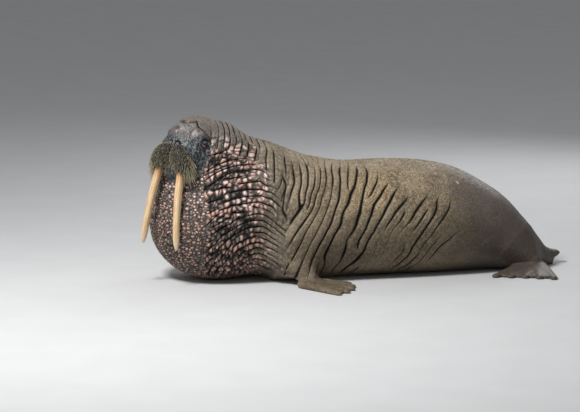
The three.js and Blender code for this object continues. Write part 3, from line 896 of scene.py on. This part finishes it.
def skin_shape(p, normals):
    """Moves the smooth skin into its folds, and gives what its colours go by."""
    q = to_head(p)
    x, y, z = p.T
    drift = noise(p, 110, 31)
    face, skull = head_parts(p, q, drift)
    limbs = ramp(np.abs(x), 470, 560) * ramp(z, 190, 110)
    belly = ramp(z, 70, 15)
    calm = (1 - face) * (1 - skull) * (1 - limbs) * (1 - 0.9 * belly)
    skin = joined_folds(p, drift)
    beaded, bead, throat = skin["beaded"], skin["bead"], skin["throat"]
    face_dent, face_shade = face_marks(q)
    lid_dent, lid_pink, opening_shade = lids(q)
    wrinkle = face_wrinkles(q, face)
    small_edge = cells(p / SMALL_LUMP, (0.9, 0.9, 0.9), 41)[0]
    rough = 1.1 * (1 - pillow(small_edge, 0.4)) * mix(0.6, 1, face) + 3.2 * wrinkle
    fine = 0.8 * noise(p, 24, 42) + 0.4 * noise(p, 12, 43)
    near_eye = 0.8 * eye_part(p)
    depth = skin["dent"] * calm + mix(face_dent + rough - fine, 0.3 * face_dent, near_eye) + lid_dent
    # Painted shade, black: in the gaps between lumps, along the seam's groove, in the face's wrinkles and
    # dents, around the eyes and in the eye openings.
    dark = np.maximum(0.9 * beaded * ramp(bead, 0.36, 0.08), ramp(skin["border"], 0.3, 0.8)) * calm
    dark = np.maximum(dark, 0.75 * ramp(wrinkle, 0.35, 0.85))
    dark = np.maximum(np.maximum(dark, face_shade) * (1 - lid_pink), opening_shade)
    near_front = ramp(y, -400, -600) * ramp(z, 980, 800)
    amount = 0.9 * near_front * mix(1, 0.8, throat)
    tip = skin["tip"] * ramp(skin["tone"] + amount, 0.88, 1.02) * calm * beaded
    cobbled = beaded * calm * mix(1, 0.3, ramp(y + 60 * drift, -720, -500))
    grey_neck = 0.9 * calm * ramp(y + 80 * drift, -430, -740)
    wave = 2 * math.pi * skin["wave"]
    layers = {
        "groove_shadow": dark, "shade": shade_and_browning(p, skin, face, calm, drift),
        "fold": skin["fold"] * calm, "line": skin["line"] * calm,
        "wave_x": np.cos(wave), "wave_y": np.sin(wave),
        "tip": tip, "tone": skin["tone"] * mix(1, 0.5, ramp(z, 620, 400)),
        "face": face, "limb": limbs, "bare": np.maximum.reduce((cobbled, skull, grey_neck)),
        "brow": ramp(q[:, 2] + 0.35 * q[:, 0], 25, 75),
        "rump": ramp(y + 0.1 * z + 90 * drift, 560, 1080), "gold": golden(p, drift),
        "pad": whisker_pad(q), "scar": scars(p, q), "lid": lid_pink,
    }
    shaped = over_ball(p - normals * (depth - COAT * 0.6)[:, None])
    shaped[:, 2] = np.maximum(shaped[:, 2], 0)
    return shaped, layers


def golden(p, drift):
    """The trunk's hair is palest in one band behind the shoulder."""
    x, y, z = p.T
    band = ramp(y + 50 * drift, -40, 80) * ramp(y + 50 * drift, 360, 230)
    band *= ramp(z, 400, 520) * ramp(z, 715, 640)
    return 0.36 * ramp(y, -500, -200) + 0.44 * band


def scars(p, q):
    share = np.zeros(len(p))
    wobble = 1 + 0.5 * noise(p, 14, 51)
    for place, radius in SCARS:
        offset = (p - place) @ SCAR_AXES.T / (1, 0.45, 0.6)
        away = np.linalg.norm(offset, axis=1) * wobble
        share = np.maximum(share, 0.85 * ramp(away, radius * 0.9, radius * 0.3))
    share = np.maximum(share, mark(q, FACE_SCAR, 7) * (0.8 + 0.4 * noise(p, 8, 52)))
    ring = np.linalg.norm(q - FOREHEAD_RING, axis=1)
    share = np.maximum(share, 0.6 * bell(ring - 9, 3.5))
    return np.clip(share, 0, 1)


# Materials
def colour(red, green, blue):
    """A colour given as it looks on a screen, from 0 to 255, as the light it reflects."""
    def light(value):
        value = value / 255
        return value / 12.92 if value < 0.04045 else ((value + 0.055) / 1.055) ** 2.4
    return (light(red), light(green), light(blue), 1)


class Nodes:
    """Short ways to add a material's nodes."""

    def __init__(self, name):
        self.material = bpy.data.materials.new(name)
        self.material.use_nodes = True
        self.tree = self.material.node_tree
        self.shader = self.tree.nodes["Principled BSDF"]

    def add(self, kind, inputs, output=0, **settings):
        node = self.tree.nodes.new(kind)
        for key, value in settings.items():
            setattr(node, key, value)
        for key, value in inputs.items():
            self.put(node.inputs[key], value)
        return node.outputs[output]

    def put(self, socket, value):
        if isinstance(value, bpy.types.NodeSocket):
            self.tree.links.new(value, socket)
        else:
            socket.default_value = value

    def set(self, name, value):
        self.put(self.shader.inputs[name], value)

    def layer(self, name):
        return self.add("ShaderNodeAttribute", {}, 2, attribute_name=name)

    def place(self):
        return self.add("ShaderNodeTexCoord", {}, 3)

    def stretched(self, scale, where=None):
        return self.add("ShaderNodeMapping", {0: where or self.place(), 3: scale})

    def noise(self, scale, detail, where=None):
        return self.add("ShaderNodeTexNoise", {0: where or self.place(), 2: scale, 3: detail})

    def cracks(self, scale):
        """How far from the cracks between small cells."""
        inputs = {0: self.place(), 2: scale}
        return self.add("ShaderNodeTexVoronoi", inputs, feature="DISTANCE_TO_EDGE")

    def ramp(self, value, start, end, low=0.0, high=1.0):
        inputs = {0: value, 1: start, 2: end, 3: low, 4: high}
        return self.add("ShaderNodeMapRange", inputs, interpolation_type="SMOOTHSTEP")

    def math(self, kind, a, b):
        return self.add("ShaderNodeMath", {0: a, 1: b}, operation=kind)

    def mix(self, share, a, b):
        return self.add("ShaderNodeMix", {0: share, 6: a, 7: b}, 2, data_type="RGBA")

    def bump(self, height, distance, strength, under=None):
        inputs = {0: strength, 1: distance, "Height": height}
        if under:
            inputs["Normal"] = under
        return self.add("ShaderNodeBump", inputs)


OLIVE, OLIVE_DARK, KHAKI = colour(148, 135, 117), colour(86, 76, 63), colour(186, 170, 144)
GOLD = colour(204, 176, 130)
NECK, NECK_DARK = colour(130, 122, 116), colour(78, 72, 68)
PINK, PINK_TAN = colour(250, 220, 212), colour(214, 164, 146)
# Painted shade: the brown laid into folds and low on the flank and chest, which also browns the shoulder
# and throat, and the black of crease bottoms and gaps.
SHADE_BROWN, SHADOW_BLACK = colour(56, 46, 38), colour(6, 4, 3)
RUMP, RUMP_DARK = colour(116, 106, 98), colour(86, 78, 71)
# The face's slate: its pale end is partly a painted reflection on the wet skin, and its dark end partly
# painted shade.
SLATE_AND_GLINT, SLATE_AND_SHADE = colour(124, 129, 131), colour(30, 34, 37)
FOREHEAD, FOREHEAD_DARK = colour(114, 107, 104), colour(66, 60, 58)
PAD_OLIVE = colour(34, 31, 25)
SCAR, LID_PINK = colour(222, 178, 158), colour(206, 150, 140)
# A crease's black line is painted shade.
LINE_WIDTH = 0.12  # half a crease's black line, in steps from crease to crease


def crease_shadow_line(m):
    """Painted shade: a thin black line at the bottom of each crease, narrower where the crease is faint."""
    turned = m.math("ARCTAN2", m.layer("wave_y"), m.layer("wave_x"))
    away = m.math("DIVIDE", m.math("ABSOLUTE", turned, 0.0), 2 * math.pi)
    reach = m.math("MULTIPLY", m.layer("line"), LINE_WIDTH)
    return m.ramp(m.math("SUBTRACT", away, reach), 0.03, -0.06)


def coat_colour(m, speckle):
    """Olive to khaki fur, paler in the golden band, and brown-grey hide behind."""
    coarse, spots = m.noise(7, 4), m.noise(42, 4)
    coat = m.mix(m.ramp(coarse, 0.35, 0.65), OLIVE_DARK, OLIVE)
    coat = m.mix(m.ramp(spots, 0.45, 0.65, 0, 0.7), coat, KHAKI)
    coat = m.mix(m.ramp(speckle, 0.54, 0.36, 0, 0.75), coat, OLIVE_DARK)
    golden = m.math("MULTIPLY", m.ramp(speckle, 0.42, 0.64), m.layer("gold"))
    coat = m.mix(golden, coat, GOLD)
    rump = m.mix(m.ramp(speckle, 0.3, 0.6), RUMP_DARK, RUMP)
    hind = m.math("ADD", m.layer("rump"), m.ramp(spots, 0.3, 0.7, -0.35, 0.35))
    return m.mix(m.ramp(hind, 0.05, 0.95), coat, rump)


def face_colour(m):
    """Wet slate, its mottle partly painted reflections and painted shade, with a browner forehead and olive
    pads.
    """
    slate = m.mix(m.ramp(m.noise(60, 4), 0.4, 0.66), SLATE_AND_SHADE, SLATE_AND_GLINT)
    forehead = m.mix(m.ramp(m.noise(24, 5), 0.38, 0.6), FOREHEAD_DARK, FOREHEAD)
    slate = m.mix(m.layer("brow"), slate, forehead)
    return m.mix(m.layer("pad"), slate, PAD_OLIVE)


def tip_colour(m, speckle):
    tips = m.mix(m.ramp(m.layer("tone"), 0.2, 0.9), PINK_TAN, PINK)
    return m.mix(m.ramp(speckle, 0.5, 0.35, 0, 0.5), tips, PINK_TAN)


def skin_material():
    m = Nodes("walrus_hide")
    speckle, line = m.noise(130, 4), crease_shadow_line(m)
    bare = m.mix(m.ramp(speckle, 0.3, 0.6), NECK_DARK, NECK)
    hide = coat_colour(m, speckle)
    shade_share = m.ramp(m.layer("shade"), 0, 1, 0, 0.6)
    # The brown mix is mostly painted shade and the black mixes are painted shade; the others are the hide's
    # own colours.
    for share, over in (
        (m.layer("bare"), bare), (m.layer("face"), face_colour(m)),
        (m.layer("tip"), tip_colour(m, speckle)), (m.layer("scar"), SCAR), (shade_share, SHADE_BROWN),
        (m.layer("groove_shadow"), SHADOW_BLACK), (line, SHADOW_BLACK), (m.layer("lid"), LID_PINK),
    ):
        hide = m.mix(share, hide, over)
    m.set("Base Color", hide)
    wet = m.math("MAXIMUM", m.layer("tip"), m.layer("face"))
    wet = m.math("SUBTRACT", wet, m.layer("pad"))
    m.set("Specular IOR Level", m.ramp(wet, 0, 1, 0.26, 0.55))
    glossy = m.math("MAXIMUM", m.layer("rump"), wet)
    dull = m.ramp(speckle, 0.3, 0.7, 0.46, 0.64)
    shine = m.math("SUBTRACT", dull, m.ramp(glossy, 0, 1, 0, 0.14))
    shine = m.math("MAXIMUM", shine, m.layer("groove_shadow"))
    m.set("Roughness", m.math("MAXIMUM", shine, line))
    hairs = m.noise(1, 3, m.stretched((420, 90, 420)))
    wrinkle = m.bump(m.cracks(110), 0.0012, 0.6)
    m.set("Normal", m.bump(hairs, 0.0008, 0.8, wrinkle))
    return m.material


def whole_skin():
    """The finished skin, its points, and what its colours go by."""
    piece = base_skin()
    mesh = piece.data
    points, normals = settle(body, places(mesh), 2)
    shaped, layers = skin_shape(points, normals)
    for name, values in layers.items():
        attribute(mesh, name, values)
    put(mesh, shaped)
    return piece, shaped, layers


# Tusks, eyes and claws, finer than their solids
def tube(loops):
    """Points and squares of a tube through loops of points."""
    count, sides = len(loops), len(loops[0])
    i, j = np.meshgrid(np.arange(count - 1) * sides, np.arange(sides), indexing="ij")
    k = (j + 1) % sides
    squares = np.stack((i + j, i + k, i + k + sides, i + j + sides), -1).reshape(-1, 4)
    return np.concatenate(loops), squares


def circle(sides):
    return np.linspace(0, 2 * math.pi, sides, endpoint=False)


def side_name(side):
    return "left" if side > 0 else "right"


TUSK = {
    "root": (133, 76, -120), "drop": 595, "spread": 0.1, "lean": -0.12, "bow": 26,
    "thick": 32, "thin": 26, "slimming": 0.25, "point": 0.86,
}
TUSK_STEPS, TUSK_SIDES = 90, 40


def tusk(side):
    """A long tusk, bowed and leaning a little back, oval across, with a shallow flute on each face."""
    t = 1 - (1 - np.linspace(0.0, 1, TUSK_STEPS)) ** 1.25
    drop = t * TUSK["drop"]
    forward, out, up = TUSK["root"]
    ahead = forward + TUSK["lean"] * drop + TUSK["bow"] * 4 * t * (1 - t)
    middle = np.stack((ahead, side * (out + TUSK["spread"] * drop), up - drop), 1)
    tip = np.clip((t - TUSK["point"]) / (1 - TUSK["point"]), 0, 1)
    size = (1 - TUSK["slimming"] * t) * np.sqrt(np.maximum(1 - tip * tip * 0.96, 0.0))
    size = np.maximum(size - 0.02 * tip, 0.05)
    angles = circle(TUSK_SIDES)
    flute = 1 - 0.05 * bell(angles - math.pi * 0.5, 0.32)
    flute = flute - 0.03 * bell(angles - math.pi * 1.5, 0.3)
    oval = np.stack((np.cos(angles) * TUSK["thick"], np.sin(angles) * TUSK["thin"], 0 * angles), 1)
    loops = []
    for place, share, scale in zip(middle, t, size):
        radius = scale * (flute + 0.004 * np.sin(9 * angles + 5 * share))
        loops.append(place + oval * radius[:, None])
    points, squares = tube(loops)
    piece = mesh_object(f"tusk_{side_name(side)}_ivory", from_head(points), squares[:, ::-1])
    attribute(piece.data, "turn_x", np.tile(np.cos(angles), TUSK_STEPS))
    attribute(piece.data, "turn_y", np.tile(np.sin(angles), TUSK_STEPS))
    attribute(piece.data, "fall", np.repeat(t, TUSK_SIDES))
    cap_ends(piece)
    return piece


def cap_ends(piece):
    """Closes the ends of a tube."""
    work = bmesh.new()
    work.from_mesh(piece.data)
    bmesh.ops.holes_fill(work, edges=[edge for edge in work.edges if edge.is_boundary])
    bmesh.ops.recalc_face_normals(work, faces=work.faces)
    work.to_mesh(piece.data)
    work.free()
    piece.data.shade_smooth()


def tusk_material():
    m = Nodes("tusk_ivory")
    fall = m.layer("fall")
    grain = m.add("ShaderNodeCombineXYZ", {0: m.layer("turn_x"), 1: m.layer("turn_y"), 2: fall})
    streaks = m.noise(7, 5, m.stretched((1, 1, 0.9), grain))
    fine = m.noise(26, 3, m.stretched((1, 1, 0.5), grain))
    stain = m.mix(m.ramp(streaks, 0.35, 0.62), colour(244, 222, 184), colour(212, 170, 120))
    stain = m.mix(m.ramp(fine, 0.5, 0.66, 0, 0.5), stain, colour(166, 118, 72))
    stain = m.mix(m.ramp(fall, 0.32, 0.18, 0, 0.65), stain, colour(176, 112, 58))
    stain = m.mix(m.ramp(fall, 0.8, 1.0, 0, 0.5), stain, colour(240, 226, 198))
    m.set("Base Color", stain)
    m.set("Roughness", m.ramp(streaks, 0.3, 0.7, 0.3, 0.5))
    m.set("Subsurface Weight", 0.08)
    m.set("Subsurface Radius", (0.02, 0.012, 0.006))
    m.set("Normal", m.bump(fine, 0.0008, 0.7, m.bump(streaks, 0.002, 0.6)))
    return m.material


EYE_STEPS, EYE_SIDES, CORNEA = 36, 48, 1.2


def eyeball(side):
    """A ball that bulges a little in front; look is the angle from its line of sight."""
    looks = np.linspace(0.02, math.pi - 0.02, EYE_STEPS)
    angles = circle(EYE_SIDES)[:, None]
    around = np.cos(angles) * EYE_BACK + np.sin(angles) * EYE_UP
    loops = []
    for look in looks:
        radius = EYE_RADIUS - 0.6 + CORNEA * math.exp(-((look / 0.5) ** 2))
        loop = math.cos(look) * GAZE + math.sin(look) * around
        loops.append((EYE + loop * radius) * (1, side, 1))
    points, squares = tube(loops)
    piece = mesh_object(f"eye_{side_name(side)}_ball", from_head(points), squares)
    attribute(piece.data, "look", np.repeat(looks, EYE_SIDES))
    cap_ends(piece)
    return piece


def eye_material():
    m = Nodes("eye_wet")
    look = m.layer("look")
    veins = m.noise(260, 4)
    white = m.mix(m.ramp(veins, 0.45, 0.62), colour(64, 48, 42), colour(40, 24, 20))
    iris = m.mix(m.ramp(m.noise(420, 2), 0.35, 0.65), colour(22, 14, 9), colour(38, 24, 15))
    eye = m.mix(m.ramp(look, 0.5, 0.6), iris, white)
    eye = m.mix(m.ramp(look, 0.34, 0.28), eye, colour(6, 5, 5))
    m.set("Base Color", eye)
    m.set("Roughness", m.ramp(veins, 0.3, 0.7, 0.16, 0.26))
    m.set("Specular IOR Level", 0.35)
    return m.material


NAIL_STEPS, NAIL_SIDES = 12, 16


def nail(shape, root, outward, side):
    """Points and squares of one claw: it tapers out from its root, and dips at its tip."""
    radius, length, _ = shape["nail"]
    turn = math.radians(shape["points"])
    wrist, angles = shape["wrist"], circle(NAIL_SIDES)
    height = shape["thick"][1] * 1.7 / shape["flat"]
    loops = []
    for share in np.linspace(0, 1, NAIL_STEPS):
        place = root + outward * length * share
        across = radius * (math.sqrt(1 - share**2.2) * 0.95 + 0.02) * np.cos(angles)
        up = 0.75 * radius * (math.sqrt(1 - share**1.8) * 0.95 + 0.02) * np.sin(angles)
        sag = -0.12 * length * share - 0.10 * length * share * share
        flat = place + across[:, None] * np.array((-outward[1], outward[0]))
        x = wrist[0] + flat[:, 0] * math.cos(turn) - flat[:, 1] * math.sin(turn)
        y = wrist[1] + flat[:, 0] * math.sin(turn) + flat[:, 1] * math.cos(turn)
        loops.append(np.stack((side * x, y, height + sag + up), 1))
    return tube(loops)


def nails(shape, limb, side):
    """The claws of one flipper, each lying along its digit, with the node that it replaces."""
    _, length, back = shape["nail"]
    pieces = []
    for number, (start, bearing, reach) in enumerate(shape["digits"], 1):
        angle = math.radians(bearing)
        outward = np.array((math.cos(angle), math.sin(angle)))
        root = np.array((0, start)) + outward * (reach - back - length / 2)
        points, squares = nail(shape, root, outward, side)
        name = f"{limb}_nail_{side_name(side)}_{number}"
        piece = mesh_object(name + "_horn", points, squares)
        attribute(piece.data, "along", np.repeat(np.linspace(0, 1, NAIL_STEPS), NAIL_SIDES))
        cap_ends(piece)
        pieces.append((piece, name))
    return pieces


def nail_material():
    m = Nodes("claw_horn")
    fibres = m.noise(1, 3, m.stretched((900, 120, 900)))
    horn = m.mix(m.ramp(fibres, 0.35, 0.65), colour(70, 58, 46), colour(116, 100, 80))
    m.set("Base Color", m.mix(m.layer("along"), horn, colour(150, 134, 108)))
    m.set("Roughness", m.ramp(fibres, 0.3, 0.7, 0.35, 0.55))
    m.set("Normal", m.bump(fibres, 0.0005, 0.6))
    return m.material


# Whiskers and short hair
PATCH = 0.003  # how much of the skin's map each hair takes
chooser = np.random.default_rng(7)


def hair_faces(sides, segments):
    """Triangles of one hair, whose last point is its tip."""
    faces = []
    for i in range(segments):
        for j in range(sides):
            a, b = i * sides + j, i * sides + (j + 1) % sides
            if i < segments - 1:
                faces += [(a, b, b + sides), (a, b + sides, a + sides)]
            else:
                faces.append((a, b, segments * sides))
    return np.array(faces)


def hairs(name, roots, ways, bends, lengths, radii, patches, tones, sides=5, segments=5):
    """Tapered, bent hairs joined in one piece; each has its small patch of the skin's own map."""
    count, each = len(roots), segments * sides + 1
    t = np.linspace(0, 1, segments + 1)[:-1]
    shares = t[None, :, None]
    bent = ways[:, None] * shares + bends[:, None] * shares**2
    middle = roots[:, None] + lengths[:, None, None] * bent
    tip = roots + lengths[:, None] * (ways + bends)
    course = unit(ways[:, None] + 2 * bends[:, None] * shares)
    aside = unit(np.cross(course, np.array((0.31, 0.52, 0.79))))
    other = np.cross(course, aside)
    angles = circle(sides)[:, None]
    thick = radii[:, None] * (1 - 0.8 * t[None, :] ** 1.5)
    turn = aside[:, :, None] * np.cos(angles) + other[:, :, None] * np.sin(angles)
    loops = middle[:, :, None] + turn * thick[:, :, None, None]
    points = np.concatenate((loops.reshape(count, -1, 3), tip[:, None]), 1).reshape(-1, 3)
    first = (np.arange(count) * each)[:, None, None]
    faces = (hair_faces(sides, segments)[None] + first).reshape(-1, 3)
    piece = mesh_object(name, points, faces)
    spot = np.full((each, 2), (1, 0.5))
    spot[:-1, 0] = np.repeat(t, sides)
    spot[:-1, 1] = np.tile(np.arange(sides) / sides, segments)
    uv = patches[:, None] + (spot[None] - 0.5) * PATCH
    layer = piece.data.uv_layers.new(name="OFBake")
    layer.data.foreach_set("uv", uv.reshape(-1, 2)[faces.ravel()].astype(np.float32).ravel())
    attribute(piece.data, "along", np.tile(spot[:, 0], count))
    attribute(piece.data, "shade", np.repeat(tones, each))
    return piece


def map_places(mesh):
    """Where each point of the skin lies on its map."""
    corners = np.empty(len(mesh.loops) * 2, np.float32)
    mesh.uv_layers["OFBake"].data.foreach_get("uv", corners)
    which = np.empty(len(mesh.loops), np.int32)
    mesh.loops.foreach_get("vertex_index", which)
    spots = np.zeros((len(mesh.vertices), 2))
    spots[which] = corners.reshape(-1, 2)
    return spots


WHISKER_ROWS, ROW_WHISKERS = np.linspace(54, -70, 21), 29
WHISKERS_FROM, WHISKERS_OVER = -50, 140  # bearing of the first in a row, and how far round they go


def whisker_roots(q, side):
    """Rows of points over one pad, each the skin's nearest point to a ray from the pad's middle."""
    rays, marks = [], []
    for row, rise in enumerate(WHISKER_ROWS):
        count = int(ROW_WHISKERS * math.cos(math.radians(rise * 0.8)))
        for column in range(count):
            bearing = WHISKERS_FROM + (column + 0.5 * (row % 2)) * WHISKERS_OVER / count
            if rise > at(PAD_TOP, bearing) + 3:
                continue
            bearing += chooser.normal(0, 0.8)
            lift, turn = math.radians(rise + chooser.normal(0, 0.8)), math.radians(bearing)
            level = math.cos(lift)
            rays.append((math.cos(turn) * level, side * math.sin(turn) * level, math.sin(lift)))
            marks.append((bearing, rise))
    offset = q - PAD_MIDDLE * (1, side, 1)
    near = np.linalg.norm(offset, axis=1) < 130
    close = np.flatnonzero(near & (q[:, 0] > 80) & (q[:, 1] * side > -2))
    found = close[np.argmax(np.array(rays) @ unit(offset[close]).T, axis=1)]
    found, first = np.unique(found, return_index=True)
    return found, np.array(marks)[first].T


def whiskers(side, points, normals, spots):
    """Short and upright high on the pad, long and hanging at its lower outer corner."""
    found, (bearing, rise) = whisker_roots(to_head(points), side)
    out = normals[found] @ HEAD_AXES.T
    outer, low = ramp(bearing, 20, 85), ramp(rise, 10, -55)
    edge = ramp(rise - at(PAD_TOP, bearing), -14, -4)
    sideways = np.array((0.0, side, 0.0))
    ways = out * 0.62 + np.array((-0.1, 0, -0.72)) + sideways * (0.1 + 0.12 * outer[:, None])
    ways = unit(ways + chooser.normal(0, 0.09, ways.shape))
    ways += out * np.maximum(0.45 + 0.3 * edge - dot(out, ways), 0)[:, None]
    bends = np.array((-0.18, 0, -0.42)) + sideways * 0.06 + chooser.normal(0, 0.05, ways.shape)
    bends *= mix(1, 0.4, ramp(out[:, 2], 0, 0.6))[:, None]
    lengths = 12 + 9 * low + 46 * low * outer**1.5 + 5 * outer
    lengths = lengths * (1 - 0.2 * edge) * chooser.uniform(0.75, 1.15, len(found))
    tones = 0.36 + 0.42 * outer * low + chooser.uniform(-0.3, 0.35, len(found)) + 0.5 * edge
    roots = points[found] - normals[found] * 2
    return hairs(f"whiskers_{side_name(side)}", roots, ways @ HEAD_AXES, bends @ HEAD_AXES,
                 lengths, 1.7 + 0.3 * low, spots[found], np.clip(tones, 0, 1.3))


def whisker_material():
    m = Nodes("whisker_horn")
    shade, tipward = m.layer("shade"), m.ramp(m.layer("along"), 0.0, 0.9, 0, 0.4)
    horn = m.mix(m.ramp(shade, 0.1, 0.45), colour(30, 26, 19), colour(94, 86, 65))
    horn = m.mix(m.ramp(shade, 0.45, 0.75), horn, colour(162, 154, 124))
    horn = m.mix(m.ramp(shade, 0.85, 1.05), horn, colour(176, 126, 62))
    m.set("Base Color", m.mix(tipward, horn, colour(198, 190, 158)))
    m.set("Roughness", m.ramp(m.noise(300, 2), 0.3, 0.7, 0.35, 0.5))
    return m.material


TUFTS, TUFT_PIECES = 54000, 3


def tuft_places(points, layers):
    """Points where tufts grow: on the furred hide, less in folds and on the bare parts."""
    x, y, z = points.T
    furred = 1 - np.maximum(layers["face"], layers["limb"])
    furred = furred * (1 - 0.8 * layers["bare"]) * (1 - layers["groove_shadow"])
    likely = furred * ramp(z, 60, 160) * ramp(y, 1500, 1200) * ramp(layers["fold"], 0.5, 0.2)
    likely = likely * (1 - 0.85 * layers["rump"]) * (0.55 + 0.45 * layers["gold"])
    likely[likely < 0.05] = 0
    found = chooser.choice(len(points), TUFTS, replace=False, p=likely / likely.sum())
    return found[np.argsort(y[found])]


def tufts(points, normals, spots, layers):
    """Short hair that lies back along the body, where the light catches the folds."""
    found = tuft_places(points, layers)
    out = normals[found]
    down = ramp(points[found, 2], 720, 500)[:, None]
    back = np.array((0.0, 1.0, 0.0)) + np.array((0.0, 0.0, -0.45)) * down
    back = unit(back - out * dot(out, back)[:, None])
    ways = unit(back + out * 0.22 + chooser.normal(0, 0.13, out.shape))
    bends = -out * 0.14 + chooser.normal(0, 0.06, out.shape)
    lengths = chooser.uniform(8, 15, len(found))
    radii = chooser.uniform(0.7, 1.1, len(found))
    tones = chooser.uniform(0, 1, len(found)) * 0.7 + 0.45 * layers["gold"][found]
    roots, patches = points[found] - out, spots[found]
    pieces = []
    for part, chosen in enumerate(np.array_split(np.arange(len(found)), TUFT_PIECES), 1):
        values = (v[chosen] for v in (roots, ways, bends, lengths, radii, patches, tones))
        pieces.append(hairs(f"tufts_{part}", *values, sides=3, segments=2))
    return pieces


def tuft_material():
    m = Nodes("short_hair")
    shade = m.layer("shade")
    hair = m.mix(m.ramp(shade, 0.1, 0.6), colour(84, 70, 52), colour(146, 126, 94))
    hair = m.mix(m.ramp(shade, 0.6, 1.0), hair, colour(204, 174, 122))
    m.set("Base Color", m.mix(m.ramp(m.layer("along"), 0.2, 1, 0, 0.4), hair, colour(214, 192, 148)))
    m.set("Roughness", m.ramp(m.noise(200, 2), 0.3, 0.7, 0.45, 0.6))
    return m.material


# The pieces, each on its node
FLESH = ["head", "lower_jaw", "neck", "chest", "trunk", "hindquarters", "tail"]
LIMBS = ("foreleg", "foreflipper", "hindleg", "hindflipper")
FLESH += [f"{limb}_{side}" for limb in LIMBS for side in SIDES]


def placed(piece, slot, material, *nodes):
    """Puts a piece on the model, in place of the nodes that it replaces."""
    piece.data.materials.append(material)
    if nodes:
        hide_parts(*nodes)
    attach(piece, "root")


def walrus():
    skin, points, layers = whole_skin()
    placed(skin, "body_skin", skin_material(), *FLESH)
    spots = map_places(skin.data)
    normals = point_values(skin.data, "normal")
    ivory, wet, horn = tusk_material(), eye_material(), nail_material()
    bristle, fur = whisker_material(), tuft_material()
    for name, side in SIDES.items():
        placed(tusk(side), "ivory", ivory, f"tusk_{name}")
        placed(eyeball(side), "eye", wet, f"eye_{name}")
        for limb, shape in (("fore", FORE_FLIPPER), ("hind", HIND_FLIPPER)):
            for piece, node in nails(shape, limb, side):
                placed(piece, "nail", horn, node)
        placed(whiskers(side, points, normals, spots), "body_skin", bristle)
    for piece in tufts(points, normals, spots, layers):
        placed(piece, "body_skin", fur)


# Floor, light and air
PAPER = ((0.62, 0.62, 0.62, 1), (0.64, 0.64, 0.64, 1))
AIR, AIR_STRENGTH = (0.80, 0.83, 0.86, 1), 0.30


def floor():
    bpy.ops.mesh.primitive_plane_add(size=60)
    ground = bpy.context.object
    ground.name = "floor"
    m = Nodes("floor_paper")
    m.set("Base Color", m.mix(m.ramp(m.noise(3, 2), 0.3, 0.7), *PAPER))
    m.set("Roughness", 0.9)
    ground.data.materials.append(m.material)


def lamp(name, place, size, power):
    """A soft round light that looks at the middle of the body."""
    light = bpy.data.lights.new(name, "AREA")
    light.shape, light.size, light.energy = "DISK", size, power
    holder = bpy.data.objects.new(name, light)
    holder.location = place
    away = Vector(place) - Vector((0, 0, 0.4))
    holder.rotation_euler = away.to_track_quat("Z", "Y").to_euler()
    bpy.context.scene.collection.objects.link(holder)


def air():
    world = bpy.data.worlds.new("air")
    world.use_nodes = True
    colour_in, strength_in = world.node_tree.nodes["Background"].inputs[:2]
    colour_in.default_value, strength_in.default_value = AIR, AIR_STRENGTH
    bpy.context.scene.world = world
    bpy.context.scene.view_settings.view_transform = "Standard"


walrus()
floor()
lamp("key", (2.6, -3.4, 5.2), 1.6, 400)
lamp("fill", (-4.0, 3.0, 3.5), 4.0, 90)
air()
